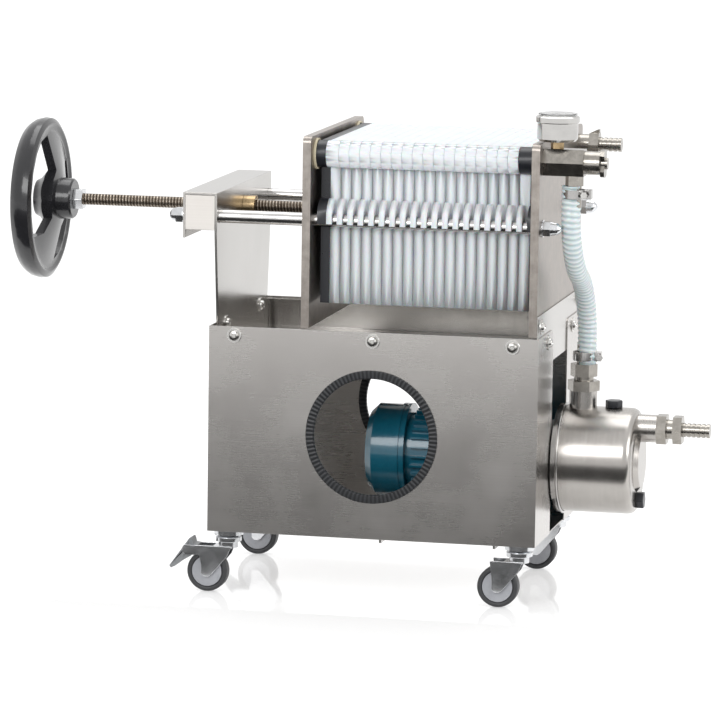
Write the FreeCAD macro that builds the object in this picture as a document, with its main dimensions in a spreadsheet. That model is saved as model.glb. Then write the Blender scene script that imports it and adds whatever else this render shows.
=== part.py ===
"""Plate filter press for wine and oil on a wheeled cabinet with a built-in pump.

Frame: X runs along the machine, the handwheel at -X and the pump at +X, -Y is the
front, +Z is up and Z = 0 is the ground. All sizes are in millimetres.
"""
import FreeCAD, Part
import math
import os
import Sketcher

Vector = FreeCAD.Vector
doc = FreeCAD.newDocument("FilterPress")
sheet = doc.addObject("Spreadsheet::Sheet", "Sizes")


class Size:
    """A number together with the expression that gives it in the document."""

    def __init__(self, value, text):
        self.value = float(value)
        self.text = text

    def join(self, other, sign, value, swapped=False):
        other_text = other.text if isinstance(other, Size) else repr(other)
        pair = (other_text, self.text) if swapped else (self.text, other_text)
        return Size(value, "(" + pair[0] + " " + sign + " " + pair[1] + ")")

    def __add__(self, other):
        return self.join(other, "+", self.value + number(other))

    def __radd__(self, other):
        return self.join(other, "+", self.value + number(other), True)

    def __sub__(self, other):
        return self.join(other, "-", self.value - number(other))

    def __rsub__(self, other):
        return self.join(other, "-", number(other) - self.value, True)

    def __mul__(self, other):
        return self.join(other, "*", self.value * number(other))

    def __rmul__(self, other):
        return self.join(other, "*", self.value * number(other), True)

    def __truediv__(self, other):
        return self.join(other, "/", self.value / number(other))

    def __neg__(self):
        return Size(-self.value, "(-1 * " + self.text + ")")


def number(value):
    """Give the plain number of a size or of a number."""
    return value.value if isinstance(value, Size) else float(value)


rows = []


def size(alias, value, meaning):
    """Write one driving dimension into the sheet and give it back as a Size."""
    row = str(len(rows) + 1)
    rows.append(alias)
    sheet.set("A" + row, meaning)
    sheet.set("B" + row, str(value))
    sheet.setAlias("B" + row, alias)
    return Size(value, "Sizes." + alias)


def bind(target, path, value):
    """Tie a property to its expression, or set it when it is a plain number."""
    if isinstance(value, Size):
        target.setExpression(path, value.text)


# ---------------------------------------------------------------- sketch outlines

def box(x0, y0, x1, y1):
    """Outline of a rectangle from one corner to the other."""
    return ("lines", [(x0, y0), (x1, y0), (x1, y1), (x0, y1)])


def lines(*points):
    """Outline of straight edges through the points, closed."""
    return ("lines", list(points))


def disc(x, y, radius):
    """Outline of a circle."""
    return ("disc", x, y, radius)


def hexagon(x, y, across_flats):
    """Outline of a hexagon with a flat on top and one below."""
    reach = across_flats / math.sqrt(3)
    half = across_flats / 2
    corners = [(reach, 0), (reach / 2, half), (-reach / 2, half)]
    corners += [(-reach, 0), (-reach / 2, -half), (reach / 2, -half)]
    return ("lines", [(cx + x, cy + y) for cx, cy in corners])


def new_sketch(body, plane, level):
    """Attach a sketch to one of the body's own planes, moved along its axis to level."""
    sketch = body.newObject("Sketcher::SketchObject", body.Name + "Sketch")
    origin_plane = [f for f in body.Origin.OriginFeatures if f.Role == plane][0]
    sketch.AttachmentSupport = [(origin_plane, "")]
    sketch.MapMode = "FlatFace"
    offset = -level if plane == "XZ_Plane" else level
    sketch.AttachmentOffset = FreeCAD.Placement(Vector(0, 0, number(offset)), FreeCAD.Rotation())
    bind(sketch, ".AttachmentOffset.Base.z", offset)
    return sketch


def place_point(sketch, curve, end, label, x, y):
    """Hold a point of the sketch at its distances from the sketch's origin."""
    for kind, axis, value in (("DistanceX", "x", x), ("DistanceY", "y", y)):
        rule = Sketcher.Constraint(kind, -1, 1, curve, end, number(value))
        index = sketch.addConstraint(rule)
        name = axis + label
        sketch.renameConstraint(index, name)
        bind(sketch, "Constraints." + name, value)


def draw(sketch, outlines):
    """Put closed outlines into the sketch with every point held by a constraint."""
    for outline in outlines:
        first = sketch.GeometryCount
        if outline[0] == "disc":
            centre = Vector(number(outline[1]), number(outline[2]), 0)
            circle = Part.Circle(centre, Vector(0, 0, 1), number(outline[3]))
            sketch.addGeometry(circle, False)
            place_point(sketch, first, 3, str(first), outline[1], outline[2])
            index = sketch.addConstraint(Sketcher.Constraint("Radius", first, number(outline[3])))
            name = "r" + str(first)
            sketch.renameConstraint(index, name)
            bind(sketch, "Constraints." + name, outline[3])
            continue
        corners = outline[1]
        count = len(corners)
        ends = [Vector(number(x), number(y), 0) for x, y in corners]
        for i in range(count):
            sketch.addGeometry(Part.LineSegment(ends[i], ends[(i + 1) % count]), False)
        for i in range(count):
            following = first + (i + 1) % count
            sketch.addConstraint(Sketcher.Constraint("Coincident", first + i, 2, following, 1))
        for i in range(count):
            place_point(sketch, first + i, 1, str(first + i), corners[i][0], corners[i][1])


# ------------------------------------------------------------- bodies and features

nodes = []


def new_body(label, x=0, y=0, z=0, kept=True):
    """Start a body whose own origin stands at x, y, z from the cabinet's middle."""
    x = middle_x + x
    body = doc.addObject("PartDesign::Body", label)
    body.Label = label
    body.AllowCompound = True
    body.Placement = FreeCAD.Placement(Vector(number(x), number(y), number(z)), FreeCAD.Rotation())
    bind(body, ".Placement.Base.x", x)
    bind(body, ".Placement.Base.y", y)
    bind(body, ".Placement.Base.z", z)
    if kept:
        nodes.append(body)
    return body


def extrude(body, plane, start, end, *outlines):
    """Add a prism of the outlines between two levels along the plane's axis."""
    sketch = new_sketch(body, plane, start)
    draw(sketch, outlines)
    pad = body.newObject("PartDesign::Pad", body.Name + "Pad")
    pad.Profile = sketch
    pad.Length = number(end - start)
    bind(pad, "Length", end - start)
    pad.Reversed = plane == "XZ_Plane"
    return pad


def cut(body, plane, start, end, *outlines):
    """Take a prism of the outlines away between two levels along the plane's axis."""
    doc.recompute()
    before = body.Shape.Volume
    sketch = new_sketch(body, plane, end)
    draw(sketch, outlines)
    pocket = body.newObject("PartDesign::Pocket", body.Name + "Pocket")
    pocket.Profile = sketch
    pocket.Length = number(end - start)
    bind(pocket, "Length", end - start)
    pocket.Reversed = plane == "XZ_Plane"
    doc.recompute()
    if body.Shape.Volume >= before:
        raise ValueError(body.Label + ": a pocket removes nothing")
    return pocket


def turn(body, along, *points):
    """Revolve a profile about the body's X axis, as (x, radius), or Z, as (radius, z)."""
    sketch = new_sketch(body, "XZ_Plane", 0)
    draw(sketch, [lines(*points)])
    revolution = body.newObject("PartDesign::Revolution", body.Name + "Turned")
    revolution.Profile = sketch
    revolution.ReferenceAxis = (sketch, ["H_Axis" if along == "X" else "V_Axis"])
    revolution.Angle = 360
    return revolution


def round_edges(body, radius, *spots):
    """Fillet the edges whose middles lie nearest to the spots."""
    doc.recompute()
    solid = body.Tip
    edges = solid.Shape.Edges
    chosen = []
    for spot in spots:
        target = Vector(number(spot[0]), number(spot[1]), number(spot[2]))
        gaps = [(edge.CenterOfMass - target).Length for edge in edges]
        chosen.append("Edge" + str(gaps.index(min(gaps)) + 1))
    fillet = body.newObject("PartDesign::Fillet", body.Name + "Fillet")
    fillet.Base = (solid, chosen)
    fillet.Radius = number(radius)
    bind(fillet, "Radius", radius)
    body.Tip = fillet
    return fillet


def repeat(body, features, step, count):
    """Repeat features along X, step apart."""
    pattern = body.newObject("PartDesign::LinearPattern", body.Name + "Row")
    pattern.Originals = features
    origin_axis = [f for f in body.Origin.OriginFeatures if f.Role == "X_Axis"][0]
    pattern.Direction = (origin_axis, [""])
    pattern.Length = number(step * (count - 1))
    bind(pattern, "Length", step * (count - 1))
    pattern.Occurrences = int(number(count))
    body.Tip = pattern
    return pattern


def group(label, members):
    """Join bodies that do not touch into one sub-part."""
    compound = doc.addObject("Part::Compound", label)
    compound.Label = label
    compound.Links = members
    nodes.append(compound)
    return compound


# ------------------------------------------------------------------ driving sizes

cabinet_length = size("cabinet_length", 405, "cabinet along X")
cabinet_depth = size("cabinet_depth", 300, "cabinet along Y")
cabinet_bottom = size("cabinet_bottom", 77, "lower edge of the panels above the ground")
cabinet_height = size("cabinet_height", 252, "height of the panels")
sheet_wall = size("sheet_wall", 1.5, "sheet of the cabinet and the tray")
flange_reach = size("flange_reach", 100, "end flanges of the panels along Y")
flange_corner = size("flange_corner", 10, "rounded top corners of the end flanges")
view_hole_radius = size("view_hole_radius", 76, "round hole in each panel")
view_hole_rise = size("view_hole_rise", 125, "hole centre above the lower edge of the panels")
trim_lip = size("trim_lip", 5, "edge trim to each side of the hole's edge")
trim_cover = size("trim_cover", 2.5, "edge trim proud of the panel's faces")
tray_rise = size("tray_rise", 213, "tray floor above the lower edge of the panels")
tray_wall = size("tray_wall", 36, "height of the tray's walls")
tray_end_wall = size("tray_end_wall", 66, "height of the tray's right wall")
floor_flange = size("floor_flange", 20, "folded edges of the cabinet floor")

upright_wall = size("upright_wall", 3, "sheet of the upright and the beam")
cap_wall = size("cap_wall", 2, "end caps of the beam")
beam_depth = size("beam_depth", 42.5, "beam along X")
beam_rise = size("beam_rise", 160, "top of the beam above the panels")
beam_cap = size("beam_cap", 45.5, "height of the beam's end caps")
beam_flange = size("beam_flange", 55.5, "height of the beam's outer flange")
cap_inset = size("cap_inset", 0.5, "end caps in from the beam's edges")
beam_beyond = size("beam_beyond", 5, "upright and beam beyond the rods")
upright_taper = size("upright_taper", 18, "narrowing of the upright towards the tray on each side")

rod_rise = size("rod_rise", 131, "rod and spindle axes above the panels")
rod_inset = size("rod_inset", 21, "rod axes in from the edges of the head plates")
rod_radius = size("rod_radius", 8, "support rods")
stud_radius = size("stud_radius", 5, "threaded ends of the rods")
stud_clearance = size("stud_clearance", 0.3, "round the studs in walls and nuts")
slide_clearance = size("slide_clearance", 0.08, "round the rods in the pressure plate")

head_thick = size("head_thick", 10, "both head plates along X")
head_inset = size("head_inset", 2, "edges of the head plates in from the panels")
head_rise = size("head_rise", 2, "foot of the head plates above the panels")
head_height = size("head_height", 231, "height of the head plates")
head_corner = size("head_corner", 8, "top corners of the head plates")

plate_count = 19
plate_pitch = size("plate_pitch", 12.9, "filter plate and filter sheet along X")
paper_thick = size("paper_thick", 0.6, "filter sheet")
plate_side_gap = size("plate_side_gap", 1.7, "between the filter plates and their slots for the rods")
plate_drop = size("plate_drop", 101.5, "foot of the filter plates below the rod axes")
plate_reach = size("plate_reach", 96, "top of the filter plates above the rod axes")
port_reach = size("port_reach", 79.4, "port axes above the rod axes")
port_radius = size("port_radius", 16.2, "outside of the ports")
lug_thick = size("lug_thick", 6.6, "lugs along X")
lug_drop = size("lug_drop", 3.5, "foot of the lugs below the rod axes")
lug_wall = size("lug_wall", 4.2, "lug outside the rod")
lug_gap = size("lug_gap", 0.3, "between lug and rod")
lug_rise = size("lug_rise", 26, "top of the lugs above the rod axes")
end_plate_fixed_thick = size("end_plate_fixed_thick", 6, "end plate at the fixed head")
port_cap_reach = size("port_cap_reach", 12.6, "port caps of the fixed end plate towards the stack")
port_cap_gap = size("port_cap_gap", 0.3, "round the port caps in their plates")
port_step = size("port_step", 3, "ports of the first plate out of its face")
end_plate_moving_thick = size("end_plate_moving_thick", 11, "end plate at the pressure plate")
backing_thick = size("backing_thick", 6.5, "backing of the moving end plate")
backing_inset = size("backing_inset", 33, "backing in from the end plate's edges")
touch_gap = size("touch_gap", 0.3, "between the closed stack and the moving end plate")
gasket_wall = size("gasket_wall", 2.2, "ring gaskets round the moving ports")
gasket_length = size("gasket_length", 3, "ring gaskets along X")

spindle_radius = size("spindle_radius", 7, "threaded spindle")
thread_clearance = size("thread_clearance", 0.1, "round the spindle in its nut")
cup_radius = size("cup_radius", 18, "thrust cup on the pressure plate")
cup_length = size("cup_length", 20, "thrust cup along X")
cup_socket = size("cup_socket", 14, "depth of the thrust cup's bore")
nut_head_radius = size("nut_head_radius", 12.5, "head of the spindle nut")
nut_head_length = size("nut_head_length", 15, "head of the spindle nut along X")
nut_barrel_radius = size("nut_barrel_radius", 10, "barrel of the spindle nut")
wheel_offset = size("wheel_offset", 205, "inner face of the rim from the beam")
wheel_radius = size("wheel_radius", 100, "handwheel")
rim_width = size("rim_width", 27, "handwheel rim along X")
rim_depth = size("rim_depth", 12, "handwheel rim across")
hub_radius = size("hub_radius", 25, "handwheel hub")
hub_reach = size("hub_reach", 30, "handwheel hub beyond the rim's inner face")
hub_length = size("hub_length", 48, "handwheel hub along X")
spoke_thick = size("spoke_thick", 14, "web of the spokes")
jam_nut_flats = size("jam_nut_flats", 24, "nut at the handwheel")
jam_nut_length = size("jam_nut_length", 12, "nut at the handwheel along X")

pump_axis = size("pump_axis", 164, "pump and motor axis above the ground")
pump_radius = size("pump_radius", 65, "pump casing")
pump_length = size("pump_length", 103, "pump casing along X")
pump_gap = size("pump_gap", 1.5, "pump clamp ring from the cabinet's end")
clamp_ring_radius = size("clamp_ring_radius", 68, "pump clamp ring over its bead")
clamp_ring_width = size("clamp_ring_width", 9, "pump clamp ring along X")
clamp_bead = size("clamp_bead", 3, "bead along the edge of the pump clamp ring")
clamp_band = size("clamp_band", 1.2, "sheet of the pump clamp ring")
inlet_rise = size("inlet_rise", 41, "inlet above the pump axis")
outlet_offset = size("outlet_offset", 30, "outlet port from the cabinet's end")
end_recess = size("end_recess", 5.5, "ring face behind the raised centre of the casing's end")
end_round = size("end_round", 10, "rounded edge of the casing's end along X")
end_face_radius = size("end_face_radius", 59, "ring face of the casing's end")
end_centre_radius = size("end_centre_radius", 32, "raised centre of the casing's end")
inlet_length = size("inlet_length", 18, "inlet port beyond the casing")
union_nut = size("union_nut", 12, "union nuts along their axis")
riser_nut = size("riser_nut", 12.3, "large hexagon over the outlet port")
riser_neck = size("riser_neck", 5, "neck over the outlet port")
riser_body = size("riser_body", 15.5, "union nut over the outlet port")
riser_flats = size("riser_flats", 29, "union nut over the outlet port across flats")
union_neck_radius = size("union_neck_radius", 12, "necks of the unions")
union_neck = size("union_neck", 8, "necks between the hexagons of the unions")
union_body = size("union_body", 11, "hexagons of the hose tails along their axis")
tail_step = size("tail_step", 6, "hose tail ridges along X")
tail_land = size("tail_land", 3.6, "round land of each ridge along X")
inlet_ridges = 5
outlet_ridges = 4
motor_radius = size("motor_radius", 53, "motor housing over the fins")
motor_start = size("motor_start", -30, "left end of the motor")
fan_cover_length = size("fan_cover_length", 50, "fan cover along X")
fan_cover_radius = size("fan_cover_radius", 57, "fan cover")
motor_length = size("motor_length", 153, "motor housing along X")
lantern_radius = size("lantern_radius", 46, "adapter between motor and pump")

tap_flats = size("tap_flats", 32, "hexagon of the tap block")
tap_length = size("tap_length", 49, "tap block along X")
gauge_offset = size("gauge_offset", 15, "gauge axis from the fixed head")
gauge_radius = size("gauge_radius", 24.5, "gauge case")
bezel_radius = size("bezel_radius", 26.5, "gauge bezel")
drop_offset = size("drop_offset", 36.5, "hose axis from the fixed head")

hose_radius = size("hose_radius", 12.2, "outside of the hose")
hose_wall = size("hose_wall", 3, "wall of the hose")
hose_clearance = size("hose_clearance", 0.3, "between hose and tails, and hose and clamps")
hose_grip = size("hose_grip", 26, "tails inside the hose")

caster_inset_x = size("caster_inset_x", 22.1, "caster stems in from the cabinet's ends")
caster_inset_y = size("caster_inset_y", 20, "caster stems in from the panels")
caster_radius = size("caster_radius", 25, "caster wheels")
caster_width = size("caster_width", 18, "caster wheels across")
caster_trail = size("caster_trail", 25, "wheel axis behind the stem")
caster_hub = size("caster_hub", 18.5, "hub inside the tyre")

doc.recompute()

# Levels and ends that follow from the driving sizes.
end_x = cabinet_length / 2
beam_left = 2 * sheet_wall - end_x + upright_wall - beam_depth
rim_face = beam_left - wheel_offset
rim_back = rim_face - rim_width
casing_start = end_x + pump_gap
casing_end = casing_start + pump_length
inlet_face = casing_end + inlet_length
inlet_tail = inlet_face + union_nut + union_neck + union_body
inlet_tip = inlet_tail + tail_step * inlet_ridges + tail_land
middle_x = -(rim_back + inlet_tip) / 2
side_y = cabinet_depth / 2
panel_top = cabinet_bottom + cabinet_height
hole_z = cabinet_bottom + view_hole_rise
rod_z = panel_top + rod_rise
head_y = side_y - head_inset
rod_y = head_y - rod_inset
inside_x = end_x - sheet_wall
inside_y = side_y - sheet_wall
tray_floor = cabinet_bottom + tray_rise
head_x = inside_x - sheet_wall
head_z = panel_top + head_rise
head_top = head_z + head_height
plate_y = rod_y - rod_radius - lug_gap - plate_side_gap
port_z = rod_z + port_reach
fixed_plate_x = head_x - head_thick - end_plate_fixed_thick
stack_start = fixed_plate_x - plate_pitch * plate_count
moving_x = stack_start - touch_gap
moving_plate_x = moving_x - end_plate_moving_thick
pressure_x = moving_plate_x - backing_thick - head_thick


# ------------------------------------------------------------------------ cabinet

def panel(label, side):
    """Bent panel: a face with a round hole and two end flanges folded round the corners."""
    body = new_body(label)
    outer = side_y * side
    inner = inside_y * side
    reach = (side_y - flange_reach) * side
    profile = lines((-end_x, reach), (-end_x, outer), (end_x, outer), (end_x, reach),
                    (inside_x, reach), (inside_x, inner), (-inside_x, inner), (-inside_x, reach))
    extrude(body, "XY_Plane", cabinet_bottom, panel_top, profile)
    low, high = (-side_y, -inside_y) if side < 0 else (inside_y, side_y)
    cut(body, "XZ_Plane", low, high, disc(0, hole_z, view_hole_radius))
    flange_x = end_x - sheet_wall / 2
    round_edges(body, flange_corner, (flange_x, reach, panel_top), (-flange_x, reach, panel_top))


panel("front_panel", -1)
panel("rear_panel", 1)


def hole_trim(label, side):
    """Slit rubber profile pushed over the edge of the round hole."""
    body = new_body(label, 0, side_y * side, hole_z)
    inner = view_hole_radius - trim_lip
    outer = view_hole_radius + trim_lip
    for face, depth in ((side_y, trim_cover), (inside_y, -trim_cover)):
        near = (face - side_y) * side
        far = near + depth * side
        low, high = (near, far) if number(far) > number(near) else (far, near)
        extrude(body, "XZ_Plane", low, high, disc(0, 0, outer), disc(0, 0, inner))
    low, high = (0, sheet_wall) if side < 0 else (-sheet_wall, 0)
    extrude(body, "XZ_Plane", Size(0, "0") + low, Size(0, "0") + high,
            disc(0, 0, view_hole_radius), disc(0, 0, inner))


hole_trim("front_hole_trim", -1)
hole_trim("rear_hole_trim", 1)

# Cabinet floor: a sheet folded up along the front and the rear panel.
floor = new_body("base_floor")
floor_top = cabinet_bottom + sheet_wall
floor_rim = cabinet_bottom + floor_flange
extrude(floor, "YZ_Plane", -inside_x, inside_x,
        lines((-inside_y, cabinet_bottom), (inside_y, cabinet_bottom), (inside_y, floor_rim),
              (inside_y - sheet_wall, floor_rim), (inside_y - sheet_wall, floor_top),
              (-inside_y + sheet_wall, floor_top), (-inside_y + sheet_wall, floor_rim),
              (-inside_y, floor_rim)))

# Drip tray hung between the panels; its right wall stands up behind the fixed head.
tray = new_body("drip_tray")
tray_top = tray_floor + tray_wall
extrude(tray, "XY_Plane", tray_floor, tray_top, box(-inside_x, -inside_y, inside_x, inside_y))
cut(tray, "XY_Plane", tray_floor + sheet_wall, tray_top,
    box(-head_x, sheet_wall - inside_y, head_x, inside_y - sheet_wall))
extrude(tray, "XY_Plane", tray_top, tray_floor + tray_end_wall,
        box(head_x, -inside_y, inside_x, inside_y))

# ---------------------------------------------------------------- upright and beam

upright = new_body("upright_beam")
web_outer = -head_x
web_inner = web_outer + upright_wall
beam_top = panel_top + beam_rise
upright_y = rod_y + rod_radius + beam_beyond
extrude(upright, "XZ_Plane", -upright_y, upright_y,
        lines((web_inner, tray_floor + sheet_wall), (web_inner, beam_top), (beam_left, beam_top),
              (beam_left, beam_top - beam_flange), (beam_left + upright_wall, beam_top - beam_flange),
              (beam_left + upright_wall, beam_top - upright_wall),
              (web_outer, beam_top - upright_wall), (web_outer, tray_floor + sheet_wall)))
for side in (-1, 1):
    cap_far = (upright_y - cap_inset) * side
    cap_near = cap_far - cap_wall * side
    low, high = (cap_far, cap_near) if side < 0 else (cap_near, cap_far)
    extrude(upright, "XZ_Plane", low, high,
            box(beam_left + upright_wall, beam_top - beam_cap, web_outer, beam_top - upright_wall))
foot_y = upright_y - upright_taper
foot_z = tray_floor + sheet_wall
taper_top = beam_top - beam_flange
cut(upright, "YZ_Plane", web_outer, web_inner,
    lines((-upright_y, taper_top), (-upright_y, foot_z), (-foot_y, foot_z)),
    lines((upright_y, taper_top), (foot_y, foot_z), (upright_y, foot_z)))
cut(upright, "YZ_Plane", beam_left, web_inner,
    disc(-rod_y, rod_z, stud_radius + stud_clearance),
    disc(rod_y, rod_z, stud_radius + stud_clearance),
    disc(0, rod_z, nut_barrel_radius))
cut(upright, "YZ_Plane", web_outer, web_inner,
    disc(-rod_y, rod_z, rod_radius + stud_clearance),
    disc(rod_y, rod_z, rod_radius + stud_clearance))

# Bronze nut through the beam; its head bears on the upright.
nut = new_body("spindle_nut", 0, 0, rod_z)
nut_end = web_inner + nut_head_length
nut_bore = spindle_radius + thread_clearance
turn(nut, "X", (beam_left - 1, nut_bore), (nut_end, nut_bore), (nut_end, nut_head_radius),
     (web_inner, nut_head_radius), (web_inner, nut_barrel_radius),
     (beam_left - 1, nut_barrel_radius))

# ------------------------------------------------------------------- support rods

stud_reach = size("stud_reach", 14, "threaded ends beyond the walls")
for label, side in (("front_rod", -1), ("rear_rod", 1)):
    rod = new_body(label, 0, rod_y * side, rod_z)
    turn(rod, "X", (beam_left - stud_reach, 0), (head_x + stud_reach, 0),
         (head_x + stud_reach, stud_radius), (head_x - head_thick, stud_radius),
         (head_x - head_thick, rod_radius), (beam_left + upright_wall, rod_radius),
         (beam_left + upright_wall, stud_radius), (beam_left - stud_reach, stud_radius))

# Washer and acorn nut on each threaded end.
washer_radius = size("washer_radius", 10.5, "washers at the rod ends")
washer_thick = size("washer_thick", 2, "washers at the rod ends along X")
acorn_flats = size("acorn_flats", 17, "acorn nuts")
acorn_hex = size("acorn_hex", 9, "hexagon of the acorn nuts along X")
acorn_dome_left = size("acorn_dome_left", 8.5, "domes of the acorn nuts at the beam along X")
acorn_dome_right = size("acorn_dome_right", 13.5, "domes of the acorn nuts at the fixed head along X")
acorns = []
for end_name, wall_x, way, acorn_dome in (("left", beam_left, -1, acorn_dome_left),
                                            ("right", head_x, 1, acorn_dome_right)):
    for side_name, side in (("front", -1), ("rear", 1)):
        acorn = new_body("acorn_" + end_name + "_" + side_name, 0, rod_y * side, rod_z, False)
        bore = stud_radius + stud_clearance
        hex_start = wall_x + washer_thick * way
        hex_end = hex_start + acorn_hex * way
        dome_end = hex_end + acorn_dome * way
        low, high = (hex_start, hex_end) if way > 0 else (hex_end, hex_start)
        extrude(acorn, "YZ_Plane", low, high, hexagon(0, 0, acorn_flats), disc(0, 0, bore))
        turn(acorn, "X", (wall_x, bore), (hex_start, bore), (hex_start, washer_radius),
             (wall_x, washer_radius))
        bore_end = wall_x + (stud_reach + stud_clearance) * way
        round_radius = acorn_flats / 2
        turn(acorn, "X", (hex_end, bore), (bore_end, bore), (bore_end, 0), (dome_end, 0),
             (dome_end - acorn_dome * 0.1 * way, round_radius * 0.45),
             (dome_end - acorn_dome * 0.4 * way, round_radius * 0.85), (hex_end, round_radius))
        acorns.append(acorn)
group("rod_nuts", acorns)

# --------------------------------------------------------------------- head plates

nipple_radius = size("nipple_radius", 10, "nipples through the fixed head")
nipple_clearance = size("nipple_clearance", 0.4, "round the nipples")


def head_plate(label, left, holes):
    """Thick steel plate with rounded top corners and its holes."""
    body = new_body(label)
    half = head_y
    right = left + head_thick
    extrude(body, "YZ_Plane", left, right, box(-half, head_z, half, head_top))
    middle = left + head_thick / 2
    round_edges(body, head_corner, (middle, -half, head_top), (middle, half, head_top))
    cut(body, "YZ_Plane", left, right, *holes)


stud_hole = stud_radius + stud_clearance
nipple_hole = nipple_radius + nipple_clearance
head_plate("fixed_head", head_x - head_thick,
           [disc(-rod_y, rod_z, stud_hole), disc(rod_y, rod_z, stud_hole),
            disc(-plate_y, port_z, nipple_hole), disc(plate_y, port_z, nipple_hole)])
slide_hole = rod_radius + slide_clearance
head_plate("pressure_plate", pressure_x,
           [disc(-rod_y, rod_z, slide_hole), disc(rod_y, rod_z, slide_hole)])


# -------------------------------------------------------------------- filter stack

def lug(side):
    """Outline of a hook over the rod, closed towards the plate."""
    near = plate_y - 1
    inner = rod_y - rod_radius - lug_gap
    outer = rod_y + rod_radius + lug_gap
    far = outer + lug_wall
    foot = rod_z - lug_drop
    seat = rod_z + rod_radius + lug_gap
    points = [(near, rod_z + lug_rise), (inner + 6, rod_z + lug_rise),
              (far - 4, seat + 10), (far, seat + 2), (far, foot), (outer, foot),
              (outer, seat - 2), (outer - 3, seat), (inner + 3, seat), (inner, seat - 2),
              (inner, foot), (near, foot)]
    return lines(*[(y * side, z) for y, z in points])


def stack_plate(body, start, thick, lug_start, lug_end):
    """One plate of the stack: a square with a round port at each top corner and two lugs."""
    low = rod_z - plate_drop
    high = rod_z + plate_reach
    features = [extrude(body, "YZ_Plane", start, start + thick, box(-plate_y, low, plate_y, high))]
    for side in (-1, 1):
        features.append(extrude(body, "YZ_Plane", start, start + thick,
                                disc(plate_y * side, port_z, port_radius)))
        features.append(extrude(body, "YZ_Plane", lug_start, lug_end, lug(side)))
    return features


plates = new_body("filter_plates")
plate_thick = plate_pitch - paper_thick
plate_features = stack_plate(plates, stack_start, plate_thick, stack_start, stack_start + lug_thick)
repeat(plates, plate_features, plate_pitch, plate_count)
cap_start = fixed_plate_x - port_cap_reach
for side in (-1, 1):
    cut(plates, "YZ_Plane", cap_start - port_cap_gap * 2, fixed_plate_x,
        disc(plate_y * side, port_z, port_radius + port_cap_gap))
    extrude(plates, "YZ_Plane", stack_start - port_step, stack_start,
            disc(plate_y * side, port_z, port_radius))

# Filter sheets clamped between the plates.
papers = new_body("filter_sheets")
paper_start = stack_start + plate_thick
paper_inset = size("paper_inset", 2, "filter sheets in from the plates' edges")
paper_top = port_z - port_radius - paper_inset
paper = extrude(papers, "YZ_Plane", paper_start, paper_start + paper_thick,
                box(paper_inset - plate_y, rod_z - plate_drop + paper_inset,
                    plate_y - paper_inset, paper_top))
repeat(papers, [paper], plate_pitch, plate_count)

# End plates in black plastic; the moving one stands off the pressure plate on a backing.
end_fixed = new_body("end_plate_fixed")
stack_plate(end_fixed, fixed_plate_x, end_plate_fixed_thick, fixed_plate_x,
            fixed_plate_x + end_plate_fixed_thick)
for side in (-1, 1):
    extrude(end_fixed, "YZ_Plane", cap_start, fixed_plate_x, disc(plate_y * side, port_z, port_radius))
end_moving = new_body("end_plate_moving")
stack_plate(end_moving, moving_plate_x, end_plate_moving_thick, moving_plate_x,
            moving_plate_x + end_plate_moving_thick)
backing_start = pressure_x + head_thick
extrude(end_moving, "YZ_Plane", backing_start, moving_plate_x,
        box(backing_inset - plate_y, rod_z - plate_drop + backing_inset,
            plate_y - backing_inset, rod_z + plate_reach - backing_inset))
for side in (-1, 1):
    extrude(end_moving, "YZ_Plane", backing_start, moving_plate_x,
            disc(plate_y * side, port_z, port_radius))
    cut(end_moving, "YZ_Plane", moving_x - port_step, moving_x,
        disc(plate_y * side, port_z, port_radius + port_cap_gap))

gaskets = new_body("port_gaskets")
gasket_bore = port_radius + port_cap_gap
for side in (-1, 1):
    extrude(gaskets, "YZ_Plane", backing_start, backing_start + gasket_length,
            disc(plate_y * side, port_z, gasket_bore + gasket_wall),
            disc(plate_y * side, port_z, gasket_bore))

# ------------------------------------------------------------ spindle and handwheel

cup = new_body("thrust_cup", 0, 0, rod_z)
cup_start = pressure_x - cup_length
turn(cup, "X", (cup_start, nut_bore), (cup_start, cup_radius - 2), (cup_start + 2, cup_radius),
     (pressure_x, cup_radius), (pressure_x, 0), (cup_start + cup_socket, 0),
     (cup_start + cup_socket, nut_bore))

spindle = new_body("spindle", 0, 0, rod_z)
hub_end = rim_face + hub_reach
hub_start = hub_end - hub_length
seat_radius = size("seat_radius", 6, "spindle inside the handwheel hub")
spindle_end = cup_start + cup_socket - thread_clearance
turn(spindle, "X", (hub_start + 4, 0), (spindle_end, 0), (spindle_end, spindle_radius - 2),
     (spindle_end - 2, spindle_radius), (hub_end, spindle_radius), (hub_end, seat_radius),
     (hub_start + 4, seat_radius))

# Handwheel: a rounded hollow rim, a dished web with two openings, and a long hub.
handwheel = new_body("handwheel", 0, 0, rod_z)
rim_inner = wheel_radius - rim_depth
web_dish = size("web_dish", 12, "web at the hub before the rim's inner face")
web_back = rim_face - spoke_thick
turn(handwheel, "X", (hub_start, seat_radius), (hub_end, seat_radius), (hub_end, hub_radius - 2),
     (hub_end - 2, hub_radius), (rim_face + web_dish, hub_radius + 1),
     (rim_face + web_dish - 2, hub_radius + 10), (rim_face - 2, rim_inner - 6),
     (rim_face - 2, rim_inner), (rim_face, rim_inner + 3), (rim_face, wheel_radius - 6),
     (rim_face - 3, wheel_radius - 1), (rim_face - 9, wheel_radius), (rim_back + 9, wheel_radius - 2),
     (rim_back + 3, wheel_radius - 6), (rim_back, rim_inner + 3), (rim_back + 4, rim_inner - 1),
     (web_back, rim_inner - 2), (web_back + web_dish, hub_radius + 12),
     (hub_start + 6, hub_radius), (hub_start, hub_radius - 3))
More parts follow.
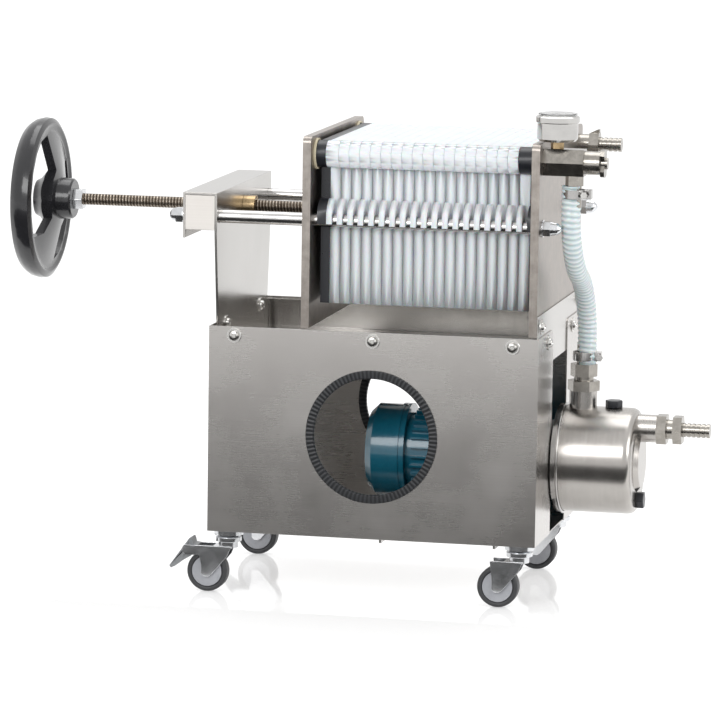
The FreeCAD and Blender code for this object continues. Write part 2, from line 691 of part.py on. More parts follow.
opening = lines((-rim_inner * 0.17, rim_inner * 0.9), (-hub_radius * 0.44, hub_radius + 11),
                (-hub_radius * 1.04, hub_radius), (-hub_radius * 1.44, 0),
                (-hub_radius * 1.2, -hub_radius * 0.88), (-rim_inner * 0.52, -rim_inner * 0.45),
                (-rim_inner * 0.82, -rim_inner * 0.48), (-rim_inner * 0.93, -rim_inner * 0.17),
                (-rim_inner * 0.95, rim_inner * 0.12), (-rim_inner * 0.85, rim_inner * 0.43),
                (-rim_inner * 0.67, rim_inner * 0.68), (-rim_inner * 0.44, rim_inner * 0.84))
hole = cut(handwheel, "YZ_Plane", rim_back, rim_face + web_dish + 2, opening)
openings = handwheel.newObject("PartDesign::PolarPattern", "HandwheelOpenings")
openings.Originals = [hole]
openings.Axis = ([f for f in handwheel.Origin.OriginFeatures if f.Role == "X_Axis"][0], [""])
openings.Angle = 360
openings.Occurrences = 2
handwheel.Tip = openings

jam_nut = new_body("handwheel_nut", 0, 0, rod_z)
extrude(jam_nut, "YZ_Plane", hub_end, hub_end + jam_nut_length,
        hexagon(0, 0, jam_nut_flats), disc(0, 0, spindle_radius + thread_clearance))

# ------------------------------------------------------------------ pump and motor

casing = new_body("pump_casing", 0, 0, pump_axis)
end_face = casing_end - end_recess
edge_drop = pump_radius - end_face_radius
turn(casing, "X", (casing_start, 0), (casing_start, pump_radius), (end_face - end_round, pump_radius),
     (end_face - end_round * 0.6, pump_radius - edge_drop * 0.1),
     (end_face - end_round * 0.25, pump_radius - edge_drop * 0.4), (end_face, end_face_radius),
     (end_face, end_centre_radius + end_recess), (casing_end, end_centre_radius), (casing_end, 0))
outlet_x = end_x + outlet_offset
port_radius_pump = size("pump_port_radius", 17, "pump ports")
outlet_top = size("outlet_top", 84.8, "top of the outlet port above the pump axis")
extrude(casing, "XY_Plane", pump_radius * 0.8, outlet_top, disc(outlet_x, 0, port_radius_pump))
extrude(casing, "YZ_Plane", end_face - end_round, inlet_face, disc(0, inlet_rise, port_radius_pump))

ring = new_body("pump_clamp_ring", 0, 0, pump_axis)
ring_bore = pump_radius + stud_clearance
ring_end = casing_start + clamp_ring_width
bead_start = ring_end - clamp_bead
band_radius = ring_bore + clamp_band
turn(ring, "X", (casing_start, ring_bore), (ring_end, ring_bore), (ring_end, band_radius),
     (ring_end - clamp_bead / 3, clamp_ring_radius), (bead_start + clamp_bead / 3, clamp_ring_radius),
     (bead_start, band_radius), (casing_start, band_radius))

lantern = new_body("pump_lantern", 0, 0, pump_axis)
motor_end = motor_start + fan_cover_length + motor_length
turn(lantern, "X", (motor_end, 0), (motor_end, motor_radius), (motor_end + 8, motor_radius),
     (motor_end + 12, lantern_radius), (casing_start, lantern_radius), (casing_start, 0))

motor = new_body("motor_housing", 0, 0, pump_axis)
housing_start = motor_start + fan_cover_length
fin_height = size("fin_height", 6, "motor fins")
core_radius = motor_radius - fin_height
turn(motor, "X", (housing_start, 0), (housing_start, core_radius), (motor_end, core_radius),
     (motor_end, 0))
fin_count = 28
fin_thick = size("fin_thick", 2.5, "motor fins across")
fin_inset = size("fin_inset", 7, "bare housing between the fan cover and the fins")
fin = extrude(motor, "YZ_Plane", housing_start + fin_inset, motor_end - fin_inset,
              box(core_radius - 2, -fin_thick / 2, motor_radius, fin_thick / 2))
fins = motor.newObject("PartDesign::PolarPattern", "MotorFins")
fins.Originals = [fin]
fins.Axis = ([f for f in motor.Origin.OriginFeatures if f.Role == "X_Axis"][0], [""])
fins.Angle = 360
fins.Occurrences = fin_count
motor.Tip = fins
foot_half = size("foot_half", 45, "motor foot along Y")
foot_start = housing_start + 15
foot_end = motor_end - 30
extrude(motor, "XY_Plane", cabinet_bottom + sheet_wall - pump_axis, -core_radius + 6,
        box(foot_start, -foot_half, foot_end, foot_half))

fan_cover = new_body("fan_cover", 0, 0, pump_axis)
cover_band = size("cover_band", 3.5, "each of the two bands round the fan cover's open end")
band_rise = size("band_rise", 1.5, "bands over the fan cover")
cover_slope = size("cover_slope", 9, "sloped edge of the fan cover's closed end")
band_top = fan_cover_radius + band_rise
inner_band = housing_start - cover_band * 3
turn(fan_cover, "X", (motor_start, 0), (motor_start, fan_cover_radius - cover_slope),
     (motor_start + cover_slope, fan_cover_radius), (inner_band, fan_cover_radius),
     (inner_band, band_top), (inner_band + cover_band, band_top),
     (inner_band + cover_band, fan_cover_radius), (housing_start - cover_band, fan_cover_radius),
     (housing_start - cover_band, band_top), (housing_start, band_top), (housing_start, 0))

channel = new_body("motor_channel")
channel_start = size("channel_start", -8, "left end of the motor channel")
channel_length = size("channel_length", 145, "motor channel along X")
channel_half = size("channel_half", 60, "half the motor channel along Y")
channel_drop = size("channel_drop", 21, "lips of the motor channel")
channel_wall = size("channel_wall", 3, "sheet of the motor channel")
channel_end = channel_start + channel_length
channel_low = cabinet_bottom - channel_drop
extrude(channel, "XZ_Plane", -channel_half, channel_half,
        lines((channel_start, cabinet_bottom), (channel_start, channel_low),
              (channel_start + channel_wall, channel_low),
              (channel_start + channel_wall, cabinet_bottom - channel_wall),
              (channel_end - channel_wall, cabinet_bottom - channel_wall),
              (channel_end - channel_wall, channel_low), (channel_end, channel_low),
              (channel_end, cabinet_bottom)))

# ---------------------------------------------------------------------- pump unions

outlet_union = new_body("pump_outlet_union", outlet_x, 0, pump_axis)
union_flats = size("union_flats", 34.5, "large hexagon of the unions")
tail_flats = size("tail_flats", 32.8, "hexagon of the inlet's hose tail")
neck_low = outlet_top + riser_nut
neck_high = neck_low + riser_neck
lower_tail = neck_high + riser_body
extrude(outlet_union, "XY_Plane", outlet_top, neck_low, hexagon(0, 0, union_flats))
extrude(outlet_union, "XY_Plane", neck_low, neck_high, disc(0, 0, union_neck_radius))
extrude(outlet_union, "XY_Plane", neck_high, lower_tail, hexagon(0, 0, riser_flats))
tail_bore = hose_radius - hose_wall - hose_clearance
extrude(outlet_union, "XY_Plane", lower_tail, lower_tail + hose_grip, disc(0, 0, tail_bore))

inlet_union = new_body("pump_inlet_union", 0, 0, pump_axis + inlet_rise)
tail_radius = size("tail_radius", 8.7, "hose tails over the ridges")
tail_groove = size("tail_groove", 1, "grooves between the ridges")
neck_start = inlet_face + union_nut
extrude(inlet_union, "YZ_Plane", inlet_face, neck_start, hexagon(0, 0, union_flats))
extrude(inlet_union, "YZ_Plane", neck_start, neck_start + union_neck, disc(0, 0, union_neck_radius))
extrude(inlet_union, "YZ_Plane", neck_start + union_neck, inlet_tail, hexagon(0, 0, tail_flats))


def ridged_tail(body, start, count):
    """Hose tail: round lands of one radius with grooves between them."""
    points = [(start, 0), (start, tail_radius)]
    for i in range(count):
        base = start + tail_step * i
        points += [(base + tail_land, tail_radius), (base + tail_land, tail_radius - tail_groove),
                   (base + tail_step, tail_radius - tail_groove), (base + tail_step, tail_radius)]
    tip = start + tail_step * count + tail_land
    points += [(tip, tail_radius), (tip, 0)]
    turn(body, "X", *points)


ridged_tail(inlet_union, inlet_tail, inlet_ridges)

plugs = new_body("pump_plugs", 0, 0, pump_axis)
plug_flats = size("plug_flats", 19, "hexagons of the pump's plugs")
plug_height = size("plug_height", 9, "plugs out of the pump casing")
plug_inset = size("plug_inset", 36.5, "upper plug from the casing's end")
extrude(plugs, "XY_Plane", pump_radius, pump_radius + plug_height,
        hexagon(casing_end - plug_inset, 0, plug_flats))
plug_drop = size("plug_drop", 48, "drain plug in the casing's end below the pump axis")
extrude(plugs, "YZ_Plane", end_face, end_face + plug_height, hexagon(0, -plug_drop, plug_flats))

# --------------------------------------------------------------- tap, gauge, outlet

tap = new_body("tap_body", 0, -plate_y, port_z)
tap_end = head_x + tap_length
extrude(tap, "YZ_Plane", head_x, tap_end, hexagon(0, 0, tap_flats))
extrude(tap, "YZ_Plane", head_x - head_thick, head_x, disc(0, 0, nipple_radius))
bonnet_length = size("bonnet_length", 19, "round bonnet of the tap along X")
bonnet_radius = size("bonnet_radius", 14, "round bonnet of the tap")
extrude(tap, "YZ_Plane", tap_end, tap_end + bonnet_length, disc(0, 0, bonnet_radius))
stem_height = size("stem_height", 9, "brass stem under the gauge")
drop_x = head_x + drop_offset
drop_hex = size("drop_hex", 12, "hexagon over the hose")
drop_flats = size("drop_flats", 19, "hexagon over the hose across flats")
upper_tail = -tap_flats / 2 - drop_hex
extrude(tap, "XY_Plane", upper_tail, -tap_flats / 2, hexagon(drop_x, 0, drop_flats))
extrude(tap, "XY_Plane", upper_tail - hose_grip, upper_tail, disc(drop_x, 0, tail_bore))

knob = new_body("tap_knob", 0, -plate_y, port_z)
knob_radius = size("knob_radius", 17, "tap knob")
knob_gap = size("knob_gap", 0.5, "between bonnet and knob")
knob_start = tap_end + bonnet_length + knob_gap
knob_waist = size("knob_waist", 5, "half the knob's waist")
knob_blade = size("knob_blade", 5, "blades of the knob along X")
knob_boss = size("knob_boss", 8, "boss of the knob along X")
shoulder = knob_radius * 0.62
tip = knob_radius * 0.5
blade_points = [(shoulder, knob_radius * 0.55), (tip, knob_radius * 0.9), (0, knob_radius),
                (-tip, knob_radius * 0.9), (-shoulder, knob_radius * 0.55)]
upper_blade = [(knob_waist, 0)] + blade_points
lower_blade = [(-y, -z) for y, z in upper_blade]
extrude(knob, "YZ_Plane", knob_start, knob_start + knob_blade, lines(*upper_blade, *lower_blade))
extrude(knob, "YZ_Plane", knob_start, knob_start + knob_boss, disc(0, 0, knob_waist + 2))

gauge = new_body("pressure_gauge", head_x + gauge_offset, -plate_y, port_z)
gauge_foot = tap_flats / 2 + stem_height
case_height = size("case_height", 22, "gauge case below its bezel")
bezel_height = size("bezel_height", 9, "gauge bezel")
glass_inset = size("glass_inset", 4, "gauge glass in from the bezel's edge")
bezel_low = gauge_foot + case_height
bezel_top = bezel_low + bezel_height
turn(gauge, "Z", (0, gauge_foot), (gauge_radius - 3, gauge_foot), (gauge_radius, gauge_foot + 3),
     (gauge_radius, bezel_low), (bezel_radius, bezel_low + 1), (bezel_radius, bezel_top - 2),
     (bezel_radius - glass_inset + 1, bezel_top), (bezel_radius - glass_inset, bezel_top),
     (bezel_radius - glass_inset, bezel_top - 2), (0, bezel_top - 2))

gauge_stem = new_body("gauge_stem", head_x + gauge_offset, -plate_y, port_z)
stem_flats = size("stem_flats", 14, "brass stem under the gauge across flats")
extrude(gauge_stem, "XY_Plane", tap_flats / 2, gauge_foot, hexagon(0, 0, stem_flats))

outlet = new_body("outlet_fitting", 0, plate_y, port_z)
outlet_collar = size("outlet_collar", 15, "collar of the outlet along X")
outlet_collar_radius = size("outlet_collar_radius", 12, "collar of the outlet")
outlet_hex = size("outlet_hex", 12, "hexagon of the outlet along X")
outlet_flats = size("outlet_flats", 28, "hexagon of the outlet across flats")
outlet_tail = head_x + outlet_collar + outlet_hex
extrude(outlet, "YZ_Plane", head_x - head_thick, head_x, disc(0, 0, nipple_radius))
extrude(outlet, "YZ_Plane", head_x, head_x + outlet_collar, disc(0, 0, outlet_collar_radius))
extrude(outlet, "YZ_Plane", head_x + outlet_collar, outlet_tail, hexagon(0, 0, outlet_flats))
ridged_tail(outlet, outlet_tail, outlet_ridges)
lever_height = size("lever_height", 4.5, "small lever over the outlet's hexagon")
lever_half = size("lever_half", 4, "half the lever across")
lever_low = outlet_flats / 2
extrude(outlet, "XZ_Plane", -lever_half, lever_half,
        lines((head_x + outlet_collar + 0.5, lever_low), (outlet_tail, lever_low),
              (outlet_tail, lever_low + lever_height), (outlet_tail - 2, lever_low + lever_height)))

# ----------------------------------------------------------------------------- hose

# The hose leaves the tap downwards, swings from the front to the middle of the end
# panel in two equal arcs and comes down straight on the pump outlet.
top_point = Vector(number(drop_x), number(-plate_y), number(port_z + upper_tail))
foot_point = Vector(number(outlet_x), 0, number(pump_axis + lower_tail))
straight_run = 26.0
sideways = Vector(foot_point.x - top_point.x, foot_point.y - top_point.y, 0)
shift = sideways.Length
drop = top_point.z - foot_point.z - 2 * straight_run
bend_angle = 2 * math.atan2(shift, drop)
bend_radius = drop / (2 * math.sin(bend_angle))
print("hose bend radius", round(bend_radius, 1))
down = Vector(0, 0, -1)
across = sideways.normalize()


def bend_point(start, angle, way):
    """Point of an arc that starts straight down at start and leans towards way."""
    reach = bend_radius * (1 - math.cos(angle))
    fall = bend_radius * math.sin(angle)
    return start + way * reach + down * fall


bend_start = top_point + down * straight_run
bend_end = foot_point - down * straight_run
middle = (bend_start + bend_end) * 0.5
first_mid = bend_point(bend_start, bend_angle / 2, across)
last_mid = bend_end - (first_mid - bend_start)
route = Part.Wire([Part.LineSegment(top_point, bend_start).toShape(),
                   Part.Arc(bend_start, first_mid, middle).toShape(),
                   Part.Arc(middle, last_mid, bend_end).toShape(),
                   Part.LineSegment(bend_end, foot_point).toShape()])


def tube(radius):
    """Solid round tube along the hose's route."""
    circle = Part.Wire([Part.Circle(top_point, Vector(0, 0, 1), radius).toShape()])
    return route.makePipeShell([circle], True, True)


outer_radius = number(hose_radius)
inner_radius = number(hose_radius - hose_wall)
hose_shape = tube(outer_radius).cut(tube(inner_radius))
expected = math.pi * (outer_radius ** 2 - inner_radius ** 2) * route.Length
print("hose length", round(route.Length, 1), "volume ratio", round(hose_shape.Volume / expected, 4))
hose = doc.addObject("Part::Feature", "hose")
hose.Label = "hose"
hose.Shape = hose_shape
hose.Placement = FreeCAD.Placement(Vector(number(middle_x), 0, 0), FreeCAD.Rotation())
hose.setExpression(".Placement.Base.x", middle_x.text)
nodes.append(hose)

clamp_wall = size("clamp_wall", 1.5, "hose clamp bands")
clamp_width = size("clamp_width", 11, "hose clamp bands along the hose")
clamp_bore = hose_radius + hose_clearance
upper_clamp = new_body("clamp_upper", drop_x, -plate_y, port_z, False)
lower_clamp = new_body("clamp_lower", outlet_x, 0, pump_axis, False)
clamp_inset = size("clamp_inset", 4, "hose clamps from the hose's ends")
screw_case = size("screw_case", 12, "screw housing of the clamps across")
screw_reach = size("screw_reach", 9, "screw housing of the clamps outwards")
for clamp, low in ((upper_clamp, upper_tail - clamp_inset - clamp_width),
                   (lower_clamp, lower_tail + clamp_inset)):
    extrude(clamp, "XY_Plane", low, low + clamp_width, disc(0, 0, clamp_bore + clamp_wall),
            disc(0, 0, clamp_bore))
    extrude(clamp, "XY_Plane", low, low + clamp_width,
            box(clamp_bore + clamp_wall / 2, -screw_case / 2, clamp_bore + screw_reach, screw_case / 2))
group("hose_clamps", [upper_clamp, lower_clamp])

# --------------------------------------------------------------------------- casters

head_gap = size("head_gap", 1, "between caster plate and swivel head")
mount_thick = size("mount_thick", 6, "caster mounting plates")
mount_radius = size("mount_radius", 18, "caster mounting plates")
race_radius = size("race_radius", 16, "ball races of the swivels")
race_thick = size("race_thick", 8, "ball races of the swivels")
cup_height = size("race_cup_height", 5, "cups under the ball races")
pin_radius = size("pin_radius", 5, "swivel pins")
pin_clearance = size("pin_clearance", 0.06, "round the swivel pins and the axles")
leg_wall = size("leg_wall", 2, "caster fork legs")
leg_gap = size("leg_gap", 2, "between wheel and fork legs")
leg_front = size("leg_front", 6, "fork in front of the stem axis")
leg_back = size("leg_back", 9, "fork behind the wheel axis")
axle_radius = size("axle_radius", 4, "caster axles")
arm_reach = size("arm_reach", 30, "brake arm behind the wheel axis")
arm_height = size("arm_height", 12, "brake arm")
pedal_pin_radius = size("pedal_pin_radius", 2.5, "pin of the brake pedal")
pedal_gap = size("pedal_gap", 0.8, "between pedal and brake arms")
caster_x = end_x - caster_inset_x
caster_y = side_y - caster_inset_y
mount_low = cabinet_bottom - mount_thick
race_top = mount_low - head_gap
race_low = race_top - race_thick
fork_top = race_low - cup_height
leg_inner = caster_width / 2 + leg_gap
leg_outer = leg_inner + leg_wall
pedal_x = -caster_trail - arm_reach + arm_height / 2
pedal_z = fork_top - arm_height / 2
pedal_half = leg_inner - pedal_gap


def fork_leg(braked):
    """Side of the fork: a plate from under the ball race down to the axle."""
    axle_x = -caster_trail
    points = [(leg_front, fork_top), (axle_x - leg_back, fork_top)]
    if braked:
        arm_low = fork_top - arm_height
        points = [(leg_front, fork_top), (axle_x - arm_reach + 2, fork_top),
                  (axle_x - arm_reach, fork_top - 3), (axle_x - arm_reach, arm_low + 3),
                  (axle_x - arm_reach + 3, arm_low), (axle_x - leg_back, arm_low)]
    points += [(axle_x - 6, caster_radius + 8), (axle_x - 6, caster_radius - 3),
               (axle_x - 3, caster_radius - 6), (axle_x + 2, caster_radius - 6.5),
               (axle_x + 6, caster_radius - 4), (leg_front - 5, fork_top - 12)]
    return lines(*points)


def brake_pedal(name, stem_x, stem_y):
    """Rocking pedal between the brake arms: one tip is trodden to lock, one to release."""
    pedal = new_body("brake_pedal_" + name, stem_x + pedal_x, stem_y, pedal_z)
    extrude(pedal, "XZ_Plane", -pedal_half, pedal_half,
            lines((4.5, 15), (2, 14), (-23, -21), (-21, -24), (-15, -21), (-6, -14), (4, -8),
                  (6, -4), (13, 3), (13, 6.5), (7, 7.5), (6, 12)),
            disc(0, 0, pedal_pin_radius + pin_clearance))


stems = []
for name, x_side, y_side in (("front_left", -1, -1), ("rear_left", -1, 1),
                             ("front_right", 1, -1), ("rear_right", 1, 1)):
    stem_x = caster_x * x_side
    stem_y = caster_y * y_side
    braked = x_side < 0
    stem = new_body("stem_" + name, stem_x, stem_y, 0, False)
    turn(stem, "Z", (0, fork_top + 1), (pin_radius, fork_top + 1), (pin_radius, mount_low),
         (mount_radius, mount_low), (mount_radius, cabinet_bottom), (0, cabinet_bottom))
    stems.append(stem)

    fork = new_body("caster_fork_" + name, stem_x, stem_y, 0)
    bore = pin_radius + pin_clearance
    turn(fork, "Z", (bore, fork_top - leg_wall), (race_radius - 4, fork_top - leg_wall),
         (race_radius - 4, race_low), (race_radius, race_low + 1), (race_radius, race_top - 2),
         (race_radius - 3, race_top), (bore, race_top))
    extrude(fork, "XY_Plane", fork_top - leg_wall, fork_top,
            box(-caster_trail * 0.7, -leg_outer, leg_front, leg_outer), disc(0, 0, bore))
    for leg_side in (-1, 1):
        low, high = (-leg_outer, -leg_inner) if leg_side < 0 else (leg_inner, leg_outer)
        extrude(fork, "XZ_Plane", low, high, fork_leg(braked))
    extrude(fork, "XZ_Plane", -leg_outer, leg_outer, disc(-caster_trail, caster_radius, axle_radius))
    if braked:
        extrude(fork, "XZ_Plane", -leg_outer, leg_outer, disc(pedal_x, pedal_z, pedal_pin_radius))
        brake_pedal(name, stem_x, stem_y)

    wheel_x = stem_x - caster_trail
    half = caster_width / 2
    hub = new_body("caster_hub_" + name, wheel_x, stem_y, caster_radius)
    extrude(hub, "XZ_Plane", -half, half, disc(0, 0, caster_hub), disc(0, 0, axle_radius + pin_clearance))
    tyre = new_body("caster_tyre_" + name, wheel_x, stem_y, caster_radius)
    extrude(tyre, "XZ_Plane", -half, half, disc(0, 0, caster_radius), disc(0, 0, caster_hub))
group("caster_stems", stems)

# ------------------------------------------------------------------ check and export

doc.recompute()
os.makedirs("parts", exist_ok=True)
for item in doc.Objects:
    if "Invalid" in item.State or "Error" in item.State:
        raise ValueError(item.Label + ": " + ", ".join(item.State))
for node in nodes:
    if node.Shape.isNull() or not node.Shape.isValid():
        raise ValueError(node.Label + ": no valid shape")
for node in nodes:
    node.Shape.exportStep("parts/" + node.Label + ".step")
print(len(nodes), "sub-parts written")
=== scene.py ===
import bpy
import bmesh
import math
from mathutils import Matrix, Vector


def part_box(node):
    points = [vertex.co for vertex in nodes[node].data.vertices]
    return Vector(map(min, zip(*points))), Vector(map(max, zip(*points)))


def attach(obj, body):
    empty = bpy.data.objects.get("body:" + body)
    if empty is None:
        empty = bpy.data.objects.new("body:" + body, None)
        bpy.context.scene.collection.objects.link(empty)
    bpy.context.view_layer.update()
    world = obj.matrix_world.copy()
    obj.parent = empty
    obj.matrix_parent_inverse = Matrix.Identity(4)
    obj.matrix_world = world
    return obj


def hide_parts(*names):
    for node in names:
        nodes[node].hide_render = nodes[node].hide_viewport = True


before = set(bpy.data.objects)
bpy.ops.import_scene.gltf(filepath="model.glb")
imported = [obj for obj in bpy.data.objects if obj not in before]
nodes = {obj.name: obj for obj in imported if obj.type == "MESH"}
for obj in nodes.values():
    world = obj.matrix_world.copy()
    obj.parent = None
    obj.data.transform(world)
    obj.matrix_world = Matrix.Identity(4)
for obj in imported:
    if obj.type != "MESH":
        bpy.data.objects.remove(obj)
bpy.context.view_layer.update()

# ---------------------------------------------------------------- camera and studio
# A long lens looks at the machine from the front right, a little from above. The
# white sweep is an even world light, and three large soft lamps stand round it.

view = bpy.data.cameras.new("view")
view.lens = 240.0
view.sensor_width = 36.0
view.clip_end = 60.0
view_object = bpy.data.objects.new("view", view)
view_object.location = (1.2446, -5.7295, 1.1130)
view_object.rotation_euler = [math.radians(a) for a in (81.8504, -0.8087, 12.4403)]
bpy.context.scene.collection.objects.link(view_object)
bpy.context.scene.camera = view_object
bpy.context.scene.view_settings.view_transform = "Standard"


def new_material(name):
    """Material with its nodes, its links and its Principled shader."""
    made = bpy.data.materials.new(name)
    made.use_nodes = True
    shader = made.node_tree.nodes["Principled BSDF"]
    return made, made.node_tree.nodes, made.node_tree.links, shader


def seen_directly(tree):
    """One where a camera, glossy or transmission ray arrives, and nought for light."""
    path = tree.nodes.new("ShaderNodeLightPath")
    first = tree.nodes.new("ShaderNodeMath")
    first.operation = "MAXIMUM"
    second = tree.nodes.new("ShaderNodeMath")
    second.operation = "MAXIMUM"
    tree.links.new(path.outputs["Is Camera Ray"], first.inputs[0])
    tree.links.new(path.outputs["Is Glossy Ray"], first.inputs[1])
    tree.links.new(first.outputs[0], second.inputs[0])
    tree.links.new(path.outputs["Is Transmission Ray"], second.inputs[1])
    return second.outputs[0]


world = bpy.data.worlds.new("sweep")
bpy.context.scene.world = world
world.use_nodes = True
sky = world.node_tree.nodes["Background"]
sky.inputs["Color"].default_value = (1.0, 1.0, 1.0, 1.0)
sky_level = world.node_tree.nodes.new("ShaderNodeMapRange")
sky_level.inputs["To Min"].default_value = 0.55
sky_level.inputs["To Max"].default_value = 1.0
world.node_tree.links.new(seen_directly(world.node_tree), sky_level.inputs["Value"])
world.node_tree.links.new(sky_level.outputs["Result"], sky.inputs["Strength"])

floor_paint, floor_nodes, floor_links, floor_shader = new_material("floor_white")
floor_shader.inputs["Base Color"].default_value = (0.86, 0.86, 0.86, 1.0)
floor_shader.inputs["Roughness"].default_value = 0.06
floor_shader.inputs["Specular IOR Level"].default_value = 0.28
floor_shader.inputs["Emission Color"].default_value = (1.0, 1.0, 1.0, 1.0)
floor_glow = floor_nodes.new("ShaderNodeMath")
floor_glow.operation = "MULTIPLY"
floor_glow.inputs[1].default_value = 0.42
floor_links.new(seen_directly(floor_paint.node_tree), floor_glow.inputs[0])
floor_links.new(floor_glow.outputs[0], floor_shader.inputs["Emission Strength"])
floor_mesh = bmesh.new()
bmesh.ops.create_grid(floor_mesh, x_segments=2, y_segments=2, size=14.0)
bmesh.ops.translate(floor_mesh, verts=floor_mesh.verts, vec=(0.0, 4.0, -0.0006))
floor_data = bpy.data.meshes.new("studio_floor")
floor_mesh.to_mesh(floor_data)
floor_mesh.free()
floor_data.materials.append(floor_paint)
studio_floor = bpy.data.objects.new("studio_floor", floor_data)
bpy.context.scene.collection.objects.link(studio_floor)


def lamp(name, place, aim, width, height, power):
    """Soft rectangular lamp that points at a spot of the machine."""
    data = bpy.data.lights.new(name, "AREA")
    data.shape = "RECTANGLE"
    data.size = width
    data.size_y = height
    data.energy = power
    made = bpy.data.objects.new(name, data)
    made.location = place
    made.rotation_euler = (Vector(aim) - Vector(place)).to_track_quat("-Z", "Y").to_euler()
    made.visible_camera = False
    bpy.context.scene.collection.objects.link(made)


lamp("lamp_front", (-0.6, -2.6, 1.5), (0.0, 0.0, 0.3), 1.6, 1.0, 26.0)
lamp("lamp_right", (2.6, -0.9, 1.3), (0.2, 0.0, 0.3), 1.4, 1.2, 24.0)
lamp("lamp_top", (0.0, 0.6, 2.4), (0.0, 0.0, 0.4), 2.0, 1.6, 22.0)

# Dark card lying in front of the machine, which gives the steel its darker foot.
card_paint, card_nodes, card_links, card_shader = new_material("card_dark")
card_shader.inputs["Base Color"].default_value = (0.02, 0.02, 0.02, 1.0)
card_shader.inputs["Roughness"].default_value = 0.9
card_mesh = bmesh.new()
bmesh.ops.create_grid(card_mesh, x_segments=1, y_segments=1, size=0.5)
bmesh.ops.scale(card_mesh, vec=(5.0, 1.75, 1.0), verts=card_mesh.verts)
bmesh.ops.translate(card_mesh, verts=card_mesh.verts, vec=(0.2, -1.1, 0.002))
card_data = bpy.data.meshes.new("studio_card")
card_mesh.to_mesh(card_data)
card_mesh.free()
card_data.materials.append(card_paint)
studio_card = bpy.data.objects.new("studio_card", card_data)
bpy.context.scene.collection.objects.link(studio_card)
studio_card.visible_camera = False
studio_card.visible_diffuse = False
studio_card.visible_shadow = False

# ------------------------------------------------------------------- cabinet panels
# Front, rear and floor of the cabinet are bent from 1.5 mm stainless sheet, brushed
# along the machine. The bends are slightly rounded, and domed bolts hold the panels.


def shared_group(name, inputs, outputs):
    """Empty node group with named inputs (name, kind, value) and outputs (name, kind)."""
    tree = bpy.data.node_groups.new(name, "ShaderNodeTree")
    for label, kind, value in inputs:
        made = tree.interface.new_socket(label, in_out="INPUT", socket_type=kind)
        if value is not None:
            made.default_value = value
    for label, kind in outputs:
        tree.interface.new_socket(label, in_out="OUTPUT", socket_type=kind)
    return tree, tree.nodes.new("NodeGroupInput"), tree.nodes.new("NodeGroupOutput")


# Brushed finish: long fine scratches along one direction, and broad cloudy marks.
brushing, brush_in, brush_out = shared_group(
    "brushed_finish",
    [("Vector", "NodeSocketVector", None), ("Stretch", "NodeSocketVector", (6.0, 900.0, 900.0)),
     ("Cloud Scale", "NodeSocketFloat", 9.0), ("Rough Low", "NodeSocketFloat", 0.3),
     ("Rough High", "NodeSocketFloat", 0.42), ("Dark", "NodeSocketColor", (0.4, 0.39, 0.38, 1.0)),
     ("Light", "NodeSocketColor", (0.6, 0.59, 0.58, 1.0))],
    [("Color", "NodeSocketColor"), ("Roughness", "NodeSocketFloat"), ("Height", "NodeSocketFloat")])
stretched = brushing.nodes.new("ShaderNodeVectorMath")
stretched.operation = "MULTIPLY"
scratches = brushing.nodes.new("ShaderNodeTexNoise")
scratches.inputs["Scale"].default_value = 1.0
scratches.inputs["Detail"].default_value = 3.0
clouds = brushing.nodes.new("ShaderNodeTexNoise")
clouds.inputs["Detail"].default_value = 4.0
clouds.inputs["Roughness"].default_value = 0.6
cloud_level = brushing.nodes.new("ShaderNodeMapRange")
cloud_level.inputs["From Min"].default_value = 0.3
cloud_level.inputs["From Max"].default_value = 0.7
blend_level = brushing.nodes.new("ShaderNodeMath")
blend_level.operation = "MULTIPLY_ADD"
blend_level.inputs[1].default_value = 0.45
tone = brushing.nodes.new("ShaderNodeMix")
tone.data_type = "RGBA"
rough_level = brushing.nodes.new("ShaderNodeMapRange")
half_cloud = brushing.nodes.new("ShaderNodeMath")
half_cloud.operation = "MULTIPLY"
half_cloud.inputs[1].default_value = 0.55
brushing.links.new(brush_in.outputs["Vector"], stretched.inputs[0])
brushing.links.new(brush_in.outputs["Stretch"], stretched.inputs[1])
brushing.links.new(stretched.outputs[0], scratches.inputs["Vector"])
brushing.links.new(brush_in.outputs["Vector"], clouds.inputs["Vector"])
brushing.links.new(brush_in.outputs["Cloud Scale"], clouds.inputs["Scale"])
brushing.links.new(clouds.outputs["Fac"], cloud_level.inputs["Value"])
brushing.links.new(cloud_level.outputs["Result"], half_cloud.inputs[0])
brushing.links.new(scratches.outputs["Fac"], blend_level.inputs[0])
brushing.links.new(half_cloud.outputs[0], blend_level.inputs[2])
brushing.links.new(blend_level.outputs[0], tone.inputs["Factor"])
brushing.links.new(brush_in.outputs["Dark"], tone.inputs["A"])
brushing.links.new(brush_in.outputs["Light"], tone.inputs["B"])
brushing.links.new(blend_level.outputs[0], rough_level.inputs["Value"])
brushing.links.new(brush_in.outputs["Rough Low"], rough_level.inputs["To Min"])
brushing.links.new(brush_in.outputs["Rough High"], rough_level.inputs["To Max"])
brushing.links.new(tone.outputs["Result"], brush_out.inputs["Color"])
brushing.links.new(rough_level.outputs["Result"], brush_out.inputs["Roughness"])
brushing.links.new(scratches.outputs["Fac"], brush_out.inputs["Height"])


